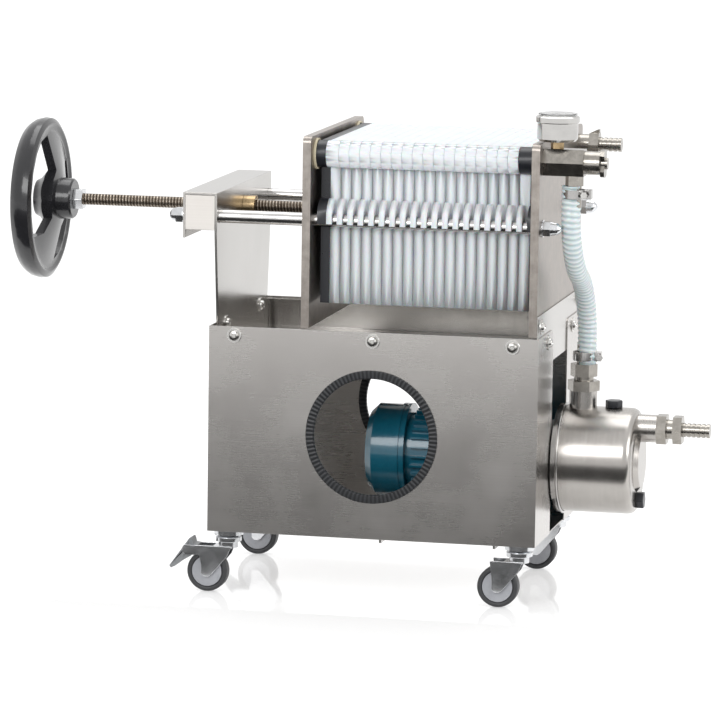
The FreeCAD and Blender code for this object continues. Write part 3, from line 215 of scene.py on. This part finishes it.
def brushed_steel(name, dark, light, rough=(0.28, 0.4), stretch=(6.0, 900.0, 900.0), cloud=9.0,
                  bump=0.02):
    """Bare metal with brushing lines, cloudy tone and varying roughness."""
    made, tree_nodes, links, shader = new_material(name)
    place = tree_nodes.new("ShaderNodeTexCoord")
    finish = tree_nodes.new("ShaderNodeGroup")
    finish.node_tree = brushing
    finish.inputs["Stretch"].default_value = stretch
    finish.inputs["Cloud Scale"].default_value = cloud
    finish.inputs["Rough Low"].default_value = rough[0]
    finish.inputs["Rough High"].default_value = rough[1]
    finish.inputs["Dark"].default_value = (*dark, 1.0)
    finish.inputs["Light"].default_value = (*light, 1.0)
    relief = tree_nodes.new("ShaderNodeBump")
    relief.inputs["Strength"].default_value = bump
    relief.inputs["Distance"].default_value = 0.0004
    links.new(place.outputs["Object"], finish.inputs["Vector"])
    links.new(finish.outputs["Color"], shader.inputs["Base Color"])
    links.new(finish.outputs["Roughness"], shader.inputs["Roughness"])
    links.new(finish.outputs["Height"], relief.inputs["Height"])
    links.new(relief.outputs["Normal"], shader.inputs["Normal"])
    shader.inputs["Metallic"].default_value = 1.0
    return made


def dress(node, paint, edge=0.0004, turn_at=35.0):
    """Finish a machined or bent piece: its material, small rounded edges, smooth faces."""
    piece = nodes[node]
    piece.data.materials.clear()
    piece.data.materials.append(paint)
    for face in piece.data.polygons:
        face.use_smooth = True
    weld = piece.modifiers.new("join", "WELD")
    weld.merge_threshold = 0.00001
    if edge:
        rounding = piece.modifiers.new("edges", "BEVEL")
        rounding.width = edge
        rounding.segments = 2
        rounding.limit_method = "ANGLE"
        rounding.angle_limit = math.radians(turn_at)
        rounding.use_clamp_overlap = True
    shade = piece.modifiers.new("shade", "WEIGHTED_NORMAL")
    shade.keep_sharp = True
    return piece

def moulded(name, dark, light, rough=(0.3, 0.42), grain=400.0, cloud=14.0, bump=0.05, coat=0.0):
    """Plastic, rubber or paint: a cloudy tone, a fine grain and varying roughness."""
    made, tree_nodes, links, shader = new_material(name)
    place = tree_nodes.new("ShaderNodeTexCoord")
    finish = tree_nodes.new("ShaderNodeGroup")
    finish.node_tree = brushing
    finish.inputs["Stretch"].default_value = (grain, grain, grain)
    finish.inputs["Cloud Scale"].default_value = cloud
    finish.inputs["Rough Low"].default_value = rough[0]
    finish.inputs["Rough High"].default_value = rough[1]
    finish.inputs["Dark"].default_value = (*dark, 1.0)
    finish.inputs["Light"].default_value = (*light, 1.0)
    relief = tree_nodes.new("ShaderNodeBump")
    relief.inputs["Strength"].default_value = bump
    relief.inputs["Distance"].default_value = 0.0003
    links.new(place.outputs["Object"], finish.inputs["Vector"])
    links.new(finish.outputs["Color"], shader.inputs["Base Color"])
    links.new(finish.outputs["Roughness"], shader.inputs["Roughness"])
    links.new(finish.outputs["Height"], relief.inputs["Height"])
    links.new(relief.outputs["Normal"], shader.inputs["Normal"])
    shader.inputs["Coat Weight"].default_value = coat
    return made


def turn_profile(mesh, outline, place, axis, steps=28):
    """Turn an outline of (radius, height) about an axis through a place, into the mesh."""
    part = bmesh.new()
    ring = [part.verts.new((radius, 0.0, height)) for radius, height in outline]
    rim = [part.edges.new(pair) for pair in zip(ring, ring[1:])]
    bmesh.ops.spin(part, geom=ring + rim, cent=(0.0, 0.0, 0.0), axis=(0.0, 0.0, 1.0),
                   angle=math.tau, steps=steps, use_merge=True)
    bmesh.ops.remove_doubles(part, verts=part.verts, dist=0.000001)
    bmesh.ops.recalc_face_normals(part, faces=part.faces)
    towards = Vector((0.0, 0.0, 1.0)).rotation_difference(Vector(axis)).to_matrix().to_4x4()
    bmesh.ops.transform(part, matrix=Matrix.Translation(place) @ towards, verts=part.verts)
    made = bpy.data.meshes.new("turned")
    part.to_mesh(made)
    part.free()
    mesh.from_mesh(made)
    bpy.data.meshes.remove(made)


def new_piece(name, mesh, paint, body):
    """Piece with its place in its mesh, smooth between its sharp edges."""
    data = bpy.data.meshes.new(name)
    mesh.to_mesh(data)
    mesh.free()
    data.materials.append(paint)
    data.shade_smooth()
    data.set_sharp_from_angle(angle=math.radians(35.0))
    piece = bpy.data.objects.new(name, data)
    bpy.context.scene.collection.objects.link(piece)
    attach(piece, body)
    return piece


cabinet_steel = brushed_steel("cabinet_steel", (0.46, 0.44, 0.42), (0.62, 0.6, 0.58), (0.22, 0.32),
                              bump=0.004)
for panel_name in ("front_panel", "rear_panel", "base_floor"):
    dress(panel_name, cabinet_steel, 0.0006)

# Domed bolts on loose washers, three along each long panel and one in each end flange.
bolt_steel = brushed_steel("bolt_steel", (0.5, 0.49, 0.47), (0.72, 0.71, 0.69), (0.16, 0.28),
                           (300.0, 300.0, 300.0), 90.0)
bolt_outline = ((0.009, 0.0), (0.009, 0.0011), (0.0086, 0.0014), (0.0066, 0.0014), (0.0062, 0.0006),
                (0.0057, 0.0006), (0.0057, 0.003), (0.0048, 0.0044), (0.003, 0.005), (0.0022, 0.0038),
                (0.0, 0.0038))
panel_low, panel_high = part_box("front_panel")
rear_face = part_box("rear_panel")[1][1]
cabinet_x = (panel_low[0] + panel_high[0]) / 2
bolt_spacing = 0.171
bolt_level = 0.3185
flange_bolt_depth = 0.084
flange_bolt_level = 0.317
bolts = bmesh.new()
for step in (-1, 0, 1):
    across = cabinet_x + bolt_spacing * step
    turn_profile(bolts, bolt_outline, (across, panel_low[1], bolt_level), (0.0, -1.0, 0.0))
    turn_profile(bolts, bolt_outline, (across, rear_face, bolt_level), (0.0, 1.0, 0.0))
for end, outwards in ((panel_low[0], -1.0), (panel_high[0], 1.0)):
    for depth in (-flange_bolt_depth, flange_bolt_depth):
        turn_profile(bolts, bolt_outline, (end, depth, flange_bolt_level), (outwards, 0.0, 0.0))
new_piece("panel_bolts", bolts, bolt_steel, "frame")

# ----------------------------------------------------------------- view hole edging
# Slit black rubber edging pushed over the cut edge of each round hole. Its face is
# pressed with short cross ribs all the way round.

edging_ribs = 96.0
edging, edging_nodes, edging_links, edging_shader = new_material("hole_edging")
hole_low, hole_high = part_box("front_hole_trim")
edging_place = edging_nodes.new("ShaderNodeTexCoord")
edging_centre = edging_nodes.new("ShaderNodeMapping")
edging_centre.inputs["Location"].default_value = (-(hole_low[0] + hole_high[0]) / 2, 0.0,
                                                  -(hole_low[2] + hole_high[2]) / 2)
edging_axes = edging_nodes.new("ShaderNodeSeparateXYZ")
edging_angle = edging_nodes.new("ShaderNodeMath")
edging_angle.operation = "ARCTAN2"
edging_turns = edging_nodes.new("ShaderNodeMath")
edging_turns.operation = "MULTIPLY"
edging_turns.inputs[1].default_value = edging_ribs
edging_rib = edging_nodes.new("ShaderNodeMath")
edging_rib.operation = "SINE"
edging_tone = edging_nodes.new("ShaderNodeMix")
edging_tone.data_type = "RGBA"
edging_tone.inputs["A"].default_value = (0.008, 0.009, 0.011, 1.0)
edging_tone.inputs["B"].default_value = (0.036, 0.038, 0.042, 1.0)
edging_level = edging_nodes.new("ShaderNodeMapRange")
edging_level.inputs["From Min"].default_value = -1.0
edging_rough = edging_nodes.new("ShaderNodeMapRange")
edging_rough.inputs["To Min"].default_value = 0.6
edging_rough.inputs["To Max"].default_value = 0.38
edging_relief = edging_nodes.new("ShaderNodeBump")
edging_relief.inputs["Strength"].default_value = 0.8
edging_relief.inputs["Distance"].default_value = 0.0008
edging_links.new(edging_place.outputs["Object"], edging_centre.inputs["Vector"])
edging_links.new(edging_centre.outputs["Vector"], edging_axes.inputs["Vector"])
edging_links.new(edging_axes.outputs["X"], edging_angle.inputs[0])
edging_links.new(edging_axes.outputs["Z"], edging_angle.inputs[1])
edging_links.new(edging_angle.outputs[0], edging_turns.inputs[0])
edging_links.new(edging_turns.outputs[0], edging_rib.inputs[0])
edging_links.new(edging_rib.outputs[0], edging_level.inputs["Value"])
edging_links.new(edging_level.outputs["Result"], edging_tone.inputs["Factor"])
edging_links.new(edging_level.outputs["Result"], edging_rough.inputs["Value"])
edging_links.new(edging_level.outputs["Result"], edging_relief.inputs["Height"])
edging_links.new(edging_tone.outputs["Result"], edging_shader.inputs["Base Color"])
edging_links.new(edging_rough.outputs["Result"], edging_shader.inputs["Roughness"])
edging_links.new(edging_relief.outputs["Normal"], edging_shader.inputs["Normal"])
for trim_name in ("front_hole_trim", "rear_hole_trim"):
    dress(trim_name, edging, 0.0012)

# ------------------------------------------------------------ tray, upright and beam
# Drip tray, upright and beam are bent stainless sheet. The beam's ends are closed by
# paler welded plates, and domed bolts hold the upright and the tray's end wall.

tray_steel = brushed_steel("tray_steel", (0.4, 0.385, 0.365), (0.56, 0.545, 0.525), (0.16, 0.26),
                           (900.0, 900.0, 8.0))
for sheet_name in ("drip_tray", "upright_beam", "motor_channel"):
    dress(sheet_name, tray_steel, 0.0006)
beam_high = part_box("upright_beam")[1]
cap_height = 0.06
cap_step = 0.0003
cap_steel = brushed_steel("cap_steel", (0.74, 0.7, 0.66), (0.88, 0.85, 0.81), (0.3, 0.42))
beam = nodes["upright_beam"]
beam.data.materials.append(cap_steel)
beam_foot = beam_high[2] - cap_height
for face in beam.data.polygons:
    inset = beam_high[1] - abs(face.center.y)
    if abs(face.normal.y) > 0.9 and face.center.z > beam_foot and inset > cap_step:
        face.material_index = 1
head_bolt_depth = 0.139
head_bolt_level = 0.343
upright_bolt_depth = 0.088
upright_bolt_level = 0.325
washer_gap = 0.0005
frame_bolts = bmesh.new()
for side in (-1.0, 1.0):
    turn_profile(frame_bolts, bolt_outline,
                 (panel_high[0] + washer_gap, head_bolt_depth * side, head_bolt_level), (1.0, 0.0, 0.0))
    turn_profile(frame_bolts, bolt_outline,
                 (beam_high[0], upright_bolt_depth * side, upright_bolt_level), (1.0, 0.0, 0.0))
new_piece("frame_bolts", frame_bolts, bolt_steel, "frame")

# ------------------------------------------------------------ head plates and rods
# Two thick heads cut from stainless plate, whose cut edges stay brown and mottled,
# and two polished rods that carry the filter plates.

plate_steel = brushed_steel("plate_steel", (0.24, 0.215, 0.195), (0.46, 0.42, 0.385), (0.28, 0.42),
                            (500.0, 500.0, 30.0), 90.0, 0.06)
for plate_name in ("fixed_head", "pressure_plate", "thrust_cup"):
    dress(plate_name, plate_steel, 0.0008)
rod_steel = brushed_steel("rod_steel", (0.5, 0.49, 0.48), (0.68, 0.67, 0.66), (0.1, 0.18),
                          (4.0, 500.0, 500.0))
for rod_name in ("front_rod", "rear_rod"):
    dress(rod_name, rod_steel, 0.0003)
zinc = brushed_steel("zinc_steel", (0.56, 0.57, 0.58), (0.76, 0.77, 0.79), (0.14, 0.26),
                     (200.0, 200.0, 200.0), 60.0)
dress("rod_nuts", zinc, 0.0004)

# -------------------------------------------------------------------- filter stack
# Nineteen moulded white plates with soft filter sheets between them, black end plates
# and cream rubber rings in the ports.

plate_white = moulded("plate_white", (0.8, 0.83, 0.86), (0.88, 0.9, 0.93), (0.34, 0.46), 300.0,
                      18.0, 0.03)
plate_white.node_tree.nodes["Principled BSDF"].inputs["Subsurface Weight"].default_value = 0.25
plate_white.node_tree.nodes["Principled BSDF"].inputs["Subsurface Scale"].default_value = 0.01
dress("filter_plates", plate_white, 0.0)
sheet_white = moulded("sheet_white", (0.88, 0.89, 0.9), (0.95, 0.96, 0.96), (0.7, 0.85), 700.0, 30.0,
                      0.2)
dress("filter_sheets", sheet_white, 0.0)
end_black = moulded("end_black", (0.008, 0.009, 0.013), (0.02, 0.022, 0.028), (0.24, 0.38), 350.0,
                    20.0, 0.06)
for end_name in ("end_plate_fixed", "end_plate_moving"):
    dress(end_name, end_black, 0.0008)
cream = moulded("cream_rubber", (0.58, 0.5, 0.34), (0.74, 0.68, 0.5), (0.45, 0.6), 300.0, 60.0, 0.1)
dress("port_gaskets", cream, 0.0004)

# ------------------------------------------------------------ spindle and handwheel
# Rolled-thread steel spindle in a bronze nut. The handwheel is black moulded plastic
# with a round rim, and a zinc nut holds it.

spindle_steel, spindle_nodes, spindle_links, spindle_shader = new_material("spindle_thread")
thread_pitch = 0.004
spindle_place = spindle_nodes.new("ShaderNodeTexCoord")
spindle_axes = spindle_nodes.new("ShaderNodeSeparateXYZ")
spindle_centre = spindle_nodes.new("ShaderNodeMapping")
spindle_low, spindle_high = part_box("spindle")
spindle_centre.inputs["Location"].default_value = (0.0, 0.0, -(spindle_low[2] + spindle_high[2]) / 2)
spindle_turn = spindle_nodes.new("ShaderNodeMath")
spindle_turn.operation = "ARCTAN2"
spindle_along = spindle_nodes.new("ShaderNodeMath")
spindle_along.operation = "MULTIPLY_ADD"
spindle_along.inputs[1].default_value = math.tau / thread_pitch
spindle_wave = spindle_nodes.new("ShaderNodeMath")
spindle_wave.operation = "SINE"
spindle_level = spindle_nodes.new("ShaderNodeMapRange")
spindle_level.inputs["From Min"].default_value = -1.0
spindle_dirt = spindle_nodes.new("ShaderNodeTexNoise")
spindle_dirt.inputs["Scale"].default_value = 120.0
spindle_mix = spindle_nodes.new("ShaderNodeMath")
spindle_mix.operation = "MULTIPLY"
spindle_tone = spindle_nodes.new("ShaderNodeMix")
spindle_tone.data_type = "RGBA"
spindle_tone.inputs["A"].default_value = (0.1, 0.075, 0.055, 1.0)
spindle_tone.inputs["B"].default_value = (0.72, 0.64, 0.54, 1.0)
spindle_rough = spindle_nodes.new("ShaderNodeMapRange")
spindle_rough.inputs["To Min"].default_value = 0.45
spindle_rough.inputs["To Max"].default_value = 0.22
spindle_relief = spindle_nodes.new("ShaderNodeBump")
spindle_relief.inputs["Strength"].default_value = 0.9
spindle_relief.inputs["Distance"].default_value = 0.0012
spindle_shader.inputs["Metallic"].default_value = 1.0
spindle_links.new(spindle_place.outputs["Object"], spindle_centre.inputs["Vector"])
spindle_links.new(spindle_centre.outputs["Vector"], spindle_axes.inputs["Vector"])
spindle_links.new(spindle_axes.outputs["Y"], spindle_turn.inputs[0])
spindle_links.new(spindle_axes.outputs["Z"], spindle_turn.inputs[1])
spindle_links.new(spindle_axes.outputs["X"], spindle_along.inputs[0])
spindle_links.new(spindle_turn.outputs[0], spindle_along.inputs[2])
spindle_links.new(spindle_along.outputs[0], spindle_wave.inputs[0])
spindle_links.new(spindle_wave.outputs[0], spindle_level.inputs["Value"])
spindle_links.new(spindle_place.outputs["Object"], spindle_dirt.inputs["Vector"])
spindle_links.new(spindle_level.outputs["Result"], spindle_mix.inputs[0])
spindle_links.new(spindle_dirt.outputs["Fac"], spindle_mix.inputs[1])
spindle_links.new(spindle_mix.outputs[0], spindle_tone.inputs["Factor"])
spindle_links.new(spindle_mix.outputs[0], spindle_rough.inputs["Value"])
spindle_links.new(spindle_level.outputs["Result"], spindle_relief.inputs["Height"])
spindle_links.new(spindle_tone.outputs["Result"], spindle_shader.inputs["Base Color"])
spindle_links.new(spindle_rough.outputs["Result"], spindle_shader.inputs["Roughness"])
spindle_links.new(spindle_relief.outputs["Normal"], spindle_shader.inputs["Normal"])
dress("spindle", spindle_steel, 0.0)
bronze = brushed_steel("bronze", (0.34, 0.24, 0.13), (0.58, 0.44, 0.26), (0.22, 0.35),
                       (200.0, 200.0, 200.0), 70.0)
dress("spindle_nut", bronze, 0.0004)
wheel_black = moulded("wheel_black", (0.009, 0.009, 0.011), (0.022, 0.022, 0.025), (0.16, 0.26),
                      250.0, 16.0, 0.06, 0.3)
dress("handwheel", wheel_black, 0.0012)
dress("handwheel_nut", zinc, 0.0005)

# ------------------------------------------------------------------ pump and motor
# Satin stainless pump casing in a polished clamp ring, its nickel-plated unions and
# black plugs, and behind it the finned motor with its fan cover in gloss teal paint.

pump_steel = brushed_steel("pump_steel", (0.36, 0.34, 0.32), (0.52, 0.5, 0.475), (0.2, 0.3),
                           (500.0, 12.0, 12.0), 16.0, 0.02)
dress("pump_casing", pump_steel, 0.0012)
ring_steel = brushed_steel("ring_steel", (0.34, 0.33, 0.32), (0.56, 0.55, 0.54), (0.14, 0.24),
                           (60.0, 60.0, 60.0))
dress("pump_clamp_ring", ring_steel, 0.0004)
cast = moulded("cast_grey", (0.16, 0.165, 0.17), (0.26, 0.265, 0.27), (0.5, 0.7), 260.0, 60.0, 0.5)
dress("pump_lantern", cast, 0.0008)
nickel = brushed_steel("nickel", (0.24, 0.225, 0.2), (0.46, 0.435, 0.4), (0.18, 0.3),
                       (200.0, 200.0, 200.0), 70.0, 0.04)
for fitting in ("pump_outlet_union", "pump_inlet_union"):
    dress(fitting, nickel, 0.0006)
dress("pump_plugs", end_black, 0.0012)
teal = moulded("teal_paint", (0.006, 0.12, 0.19), (0.012, 0.19, 0.29), (0.16, 0.28), 260.0, 20.0,
               0.08, 0.5)
for motor_part in ("motor_housing", "fan_cover"):
    dress(motor_part, teal, 0.0008)

# ---------------------------------------------------------------- tap, gauge, outlet
# Nickel-plated tap block and outlet bend, bronze gauge stem, and a gauge in a polished
# case with its face upwards: white dial, black marks and pointer, glass over them.

for fitting in ("tap_body", "tap_knob", "outlet_fitting"):
    dress(fitting, nickel, 0.0006)
dress("gauge_stem", bronze, 0.0004)
case_steel = brushed_steel("case_steel", (0.46, 0.45, 0.44), (0.62, 0.61, 0.59), (0.1, 0.18),
                           (20.0, 20.0, 500.0), 30.0)
dress("pressure_gauge", case_steel, 0.0008)
gauge_low, gauge_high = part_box("pressure_gauge")
gauge_centre = ((gauge_low[0] + gauge_high[0]) / 2, (gauge_low[1] + gauge_high[1]) / 2, gauge_high[2])
bezel_width = 0.004
dial_radius = (gauge_high[0] - gauge_low[0]) / 2 - bezel_width
mark_count = 31
first_mark = -135.0
mark_spacing = 9.0
mark_margin = 0.002
dial_white = moulded("dial_white", (0.78, 0.78, 0.76), (0.86, 0.86, 0.84), (0.4, 0.5), 500.0, 60.0,
                     0.02)
dial = bmesh.new()
turn_profile(dial, ((dial_radius, 0.0), (dial_radius, 0.0003), (0.0, 0.0003)), gauge_centre,
             (0.0, 0.0, 1.0), 48)
new_piece("gauge_dial", dial, dial_white, "frame")
marks = bmesh.new()
for step in range(mark_count):
    long_mark = step % 5 == 0
    length = 0.004 if long_mark else 0.0022
    turned_by = math.radians(first_mark + mark_spacing * step)
    mark = bmesh.ops.create_cube(marks, size=1.0)["verts"]
    bmesh.ops.scale(marks, vec=(0.0006 if long_mark else 0.0003, length, 0.0002), verts=mark)
    bmesh.ops.translate(marks, vec=(0.0, dial_radius - mark_margin - length / 2, 0.0004), verts=mark)
    bmesh.ops.rotate(marks, cent=(0.0, 0.0, 0.0), matrix=Matrix.Rotation(-turned_by, 3, "Z"),
                     verts=mark)
    bmesh.ops.translate(marks, vec=gauge_centre, verts=mark)
pointer = bmesh.ops.create_cone(marks, cap_ends=True, segments=4, radius1=0.0012, radius2=0.0002,
                                depth=dial_radius * 1.05)["verts"]
bmesh.ops.scale(marks, vec=(1.0, 0.25, 1.0), verts=pointer)
bmesh.ops.rotate(marks, cent=(0.0, 0.0, 0.0), matrix=Matrix.Rotation(math.radians(-90.0), 3, "X"),
                 verts=pointer)
bmesh.ops.translate(marks, vec=(0.0, dial_radius * 0.3, 0.0009), verts=pointer)
bmesh.ops.rotate(marks, cent=(0.0, 0.0, 0.0), matrix=Matrix.Rotation(math.radians(-first_mark), 3, "Z"),
                 verts=pointer)
bmesh.ops.translate(marks, vec=gauge_centre, verts=pointer)
new_piece("gauge_marks", marks, end_black, "frame")
glass, glass_nodes, glass_links, glass_shader = new_material("gauge_glass")
glass_shader.inputs["Transmission Weight"].default_value = 1.0
glass_shader.inputs["IOR"].default_value = 1.45
glass_place = glass_nodes.new("ShaderNodeTexCoord")
glass_smear = glass_nodes.new("ShaderNodeTexNoise")
glass_smear.inputs["Scale"].default_value = 70.0
glass_rough = glass_nodes.new("ShaderNodeMapRange")
glass_rough.inputs["To Max"].default_value = 0.09
glass_links.new(glass_place.outputs["Object"], glass_smear.inputs["Vector"])
glass_links.new(glass_smear.outputs["Fac"], glass_rough.inputs["Value"])
glass_links.new(glass_rough.outputs["Result"], glass_shader.inputs["Roughness"])
cover = bmesh.new()
turn_profile(cover, ((dial_radius + 0.001, 0.0), (dial_radius + 0.001, 0.0022),
                     (dial_radius - 0.004, 0.003), (0.0, 0.0034), (0.0, 0.0028),
                     (dial_radius - 0.004, 0.0024), (dial_radius + 0.0002, 0.0016),
                     (dial_radius + 0.0002, 0.0), (dial_radius + 0.001, 0.0)), gauge_centre,
             (0.0, 0.0, 1.0), 48)
new_piece("gauge_glass_cover", cover, glass, "frame")

# ----------------------------------------------------------------------------- hose
# Clear hose with a white rigid spiral that shows as close ridges. It is pushed
# over the tails and swings down in two equal bends; band clamps with screws hold it.

hose_radius = 0.0122
rib_pitch = 0.0065
rib_depth = 0.0011
rib_steps = 8
hose_low, hose_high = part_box("hose")
hose_top = Vector((hose_low[0] + hose_radius, hose_low[1] + hose_radius, hose_high[2]))
hose_foot = Vector((hose_high[0] - hose_radius, hose_high[1] - hose_radius, hose_low[2]))
swing = Vector((hose_foot.x - hose_top.x, hose_foot.y - hose_top.y, 0.0))
top_run = foot_run = 0.026
bend_drop = hose_top.z - hose_foot.z - top_run - foot_run
bend_angle = 2.0 * math.atan2(swing.length, bend_drop)
bend_radius = bend_drop / (2.0 * math.sin(bend_angle))
sideways = swing.normalized()
bend_run = bend_radius * bend_angle
hose_length = top_run + 2.0 * bend_run + foot_run


def hose_point(distance):
    """Point of the hose's middle line, and how far it leans from straight down there."""
    if distance < top_run:
        return hose_top - Vector((0.0, 0.0, distance)), 0.0
    if distance < top_run + bend_run:
        lean = (distance - top_run) / bend_radius
        return (hose_top + sideways * bend_radius * (1.0 - math.cos(lean))
                - Vector((0.0, 0.0, top_run + bend_radius * math.sin(lean)))), lean
    if distance < top_run + 2.0 * bend_run:
        lean = (top_run + 2.0 * bend_run - distance) / bend_radius
        return (hose_foot - sideways * bend_radius * (1.0 - math.cos(lean))
                + Vector((0.0, 0.0, foot_run + bend_radius * math.sin(lean)))), lean
    return hose_foot + Vector((0.0, 0.0, hose_length - distance)), 0.0


hose = bmesh.new()
groove_layer = hose.verts.layers.float.new("groove")
ring = bmesh.ops.create_circle(hose, cap_ends=False, segments=32, radius=1.0)["verts"]
ring_edges = hose.edges[:]
unit_ring = [vert.co.copy() for vert in ring]
lean_axis = Vector((0.0, 0.0, 1.0)).cross(sideways)
helix_lean = Matrix.Rotation(rib_pitch / (math.tau * hose_radius), 3, "Y")
ring_count = int(hose_length / rib_pitch * rib_steps)
for step in range(ring_count + 1):
    if step:
        grown = bmesh.ops.extrude_edge_only(hose, edges=ring_edges)["geom"]
        ring = [item for item in grown if isinstance(item, bmesh.types.BMVert)]
        ring_edges = [item for item in grown if isinstance(item, bmesh.types.BMEdge)
                      and all(vert in ring for vert in item.verts)]
    point, lean = hose_point(hose_length * step / ring_count)
    groove = 0.5 - 0.5 * math.cos(math.tau * step / rib_steps)
    radius = hose_radius - rib_depth * groove
    tilt = Matrix.Rotation(-lean, 3, lean_axis)
    if 0 < step < ring_count:
        tilt = tilt @ helix_lean
    for vert, unit in zip(ring, unit_ring):
        vert.co = point + tilt @ (unit * radius)
        vert[groove_layer] = groove
bmesh.ops.remove_doubles(hose, verts=hose.verts, dist=0.000001)
bmesh.ops.recalc_face_normals(hose, faces=hose.faces)
hose_paint, hose_nodes, hose_links, hose_shader = new_material("clear_hose")
hose_groove = hose_nodes.new("ShaderNodeAttribute")
hose_groove.attribute_name = "groove"
hose_place = hose_nodes.new("ShaderNodeTexCoord")
hose_cloud = hose_nodes.new("ShaderNodeTexNoise")
hose_cloud.inputs["Scale"].default_value = 60.0
hose_tone = hose_nodes.new("ShaderNodeMix")
hose_tone.data_type = "RGBA"
hose_tone.inputs["A"].default_value = (0.8, 0.86, 0.87, 1.0)
hose_tone.inputs["B"].default_value = (0.5, 0.6, 0.62, 1.0)
hose_rough = hose_nodes.new("ShaderNodeMapRange")
hose_rough.inputs["To Min"].default_value = 0.16
hose_rough.inputs["To Max"].default_value = 0.34
hose_relief = hose_nodes.new("ShaderNodeBump")
hose_relief.inputs["Strength"].default_value = 0.1
hose_relief.inputs["Distance"].default_value = 0.0004
hose_shader.inputs["Subsurface Weight"].default_value = 0.3
hose_shader.inputs["Subsurface Scale"].default_value = 0.008
hose_shader.inputs["Coat Weight"].default_value = 0.4
hose_links.new(hose_groove.outputs["Fac"], hose_tone.inputs["Factor"])
hose_links.new(hose_place.outputs["Object"], hose_cloud.inputs["Vector"])
hose_links.new(hose_cloud.outputs["Fac"], hose_rough.inputs["Value"])
hose_links.new(hose_cloud.outputs["Fac"], hose_relief.inputs["Height"])
hose_links.new(hose_tone.outputs["Result"], hose_shader.inputs["Base Color"])
hose_links.new(hose_rough.outputs["Result"], hose_shader.inputs["Roughness"])
hose_links.new(hose_relief.outputs["Normal"], hose_shader.inputs["Normal"])
ribbed_hose = new_piece("ribbed_hose", hose, hose_paint, "frame")
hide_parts("hose")
dress("hose_clamps", ring_steel, 0.0004)
clamp_low, clamp_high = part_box("hose_clamps")
half_clamp = 0.0055
screws = bmesh.new()
for across, depth, level in ((hose_top.x, hose_top.y, clamp_high[2] - half_clamp),
                             (hose_foot.x, hose_foot.y, clamp_low[2] + half_clamp)):
    turn_profile(screws, ((0.0, -0.0085), (0.003, -0.0085), (0.003, -0.012), (0.0042, -0.012),
                          (0.0042, -0.0155), (0.0, -0.0155)),
                 (across + hose_radius + half_clamp, depth, level), (0.0, 1.0, 0.0), 6)
new_piece("clamp_screws", screws, bolt_steel, "frame")

# -------------------------------------------------------------------------- casters
# Four small swivel casters: pressed and zinc-plated forks, grey moulded wheels with a
# rubber tyre, and a brake pedal on the two at the handwheel's end.

tyre_grey = moulded("tyre_grey", (0.03, 0.031, 0.034), (0.055, 0.056, 0.06), (0.42, 0.58), 300.0,
                    40.0, 0.15)
hub_grey = moulded("hub_grey", (0.36, 0.37, 0.4), (0.5, 0.51, 0.54), (0.3, 0.42), 300.0, 60.0, 0.05)
pedal_paint = moulded("pedal_grey", (0.2, 0.21, 0.22), (0.32, 0.33, 0.34), (0.3, 0.45), 300.0, 60.0,
                      0.1)
dress("caster_stems", zinc, 0.0004)
for name in sorted(nodes):
    if name.startswith("caster_fork"):
        dress(name, zinc, 0.0004)
    if name.startswith("caster_tyre"):
        dress(name, tyre_grey, 0.0025, 60.0)
    if name.startswith("caster_hub"):
        dress(name, hub_grey, 0.0006)
    if name.startswith("brake_pedal"):
        dress(name, pedal_paint, 0.0006)
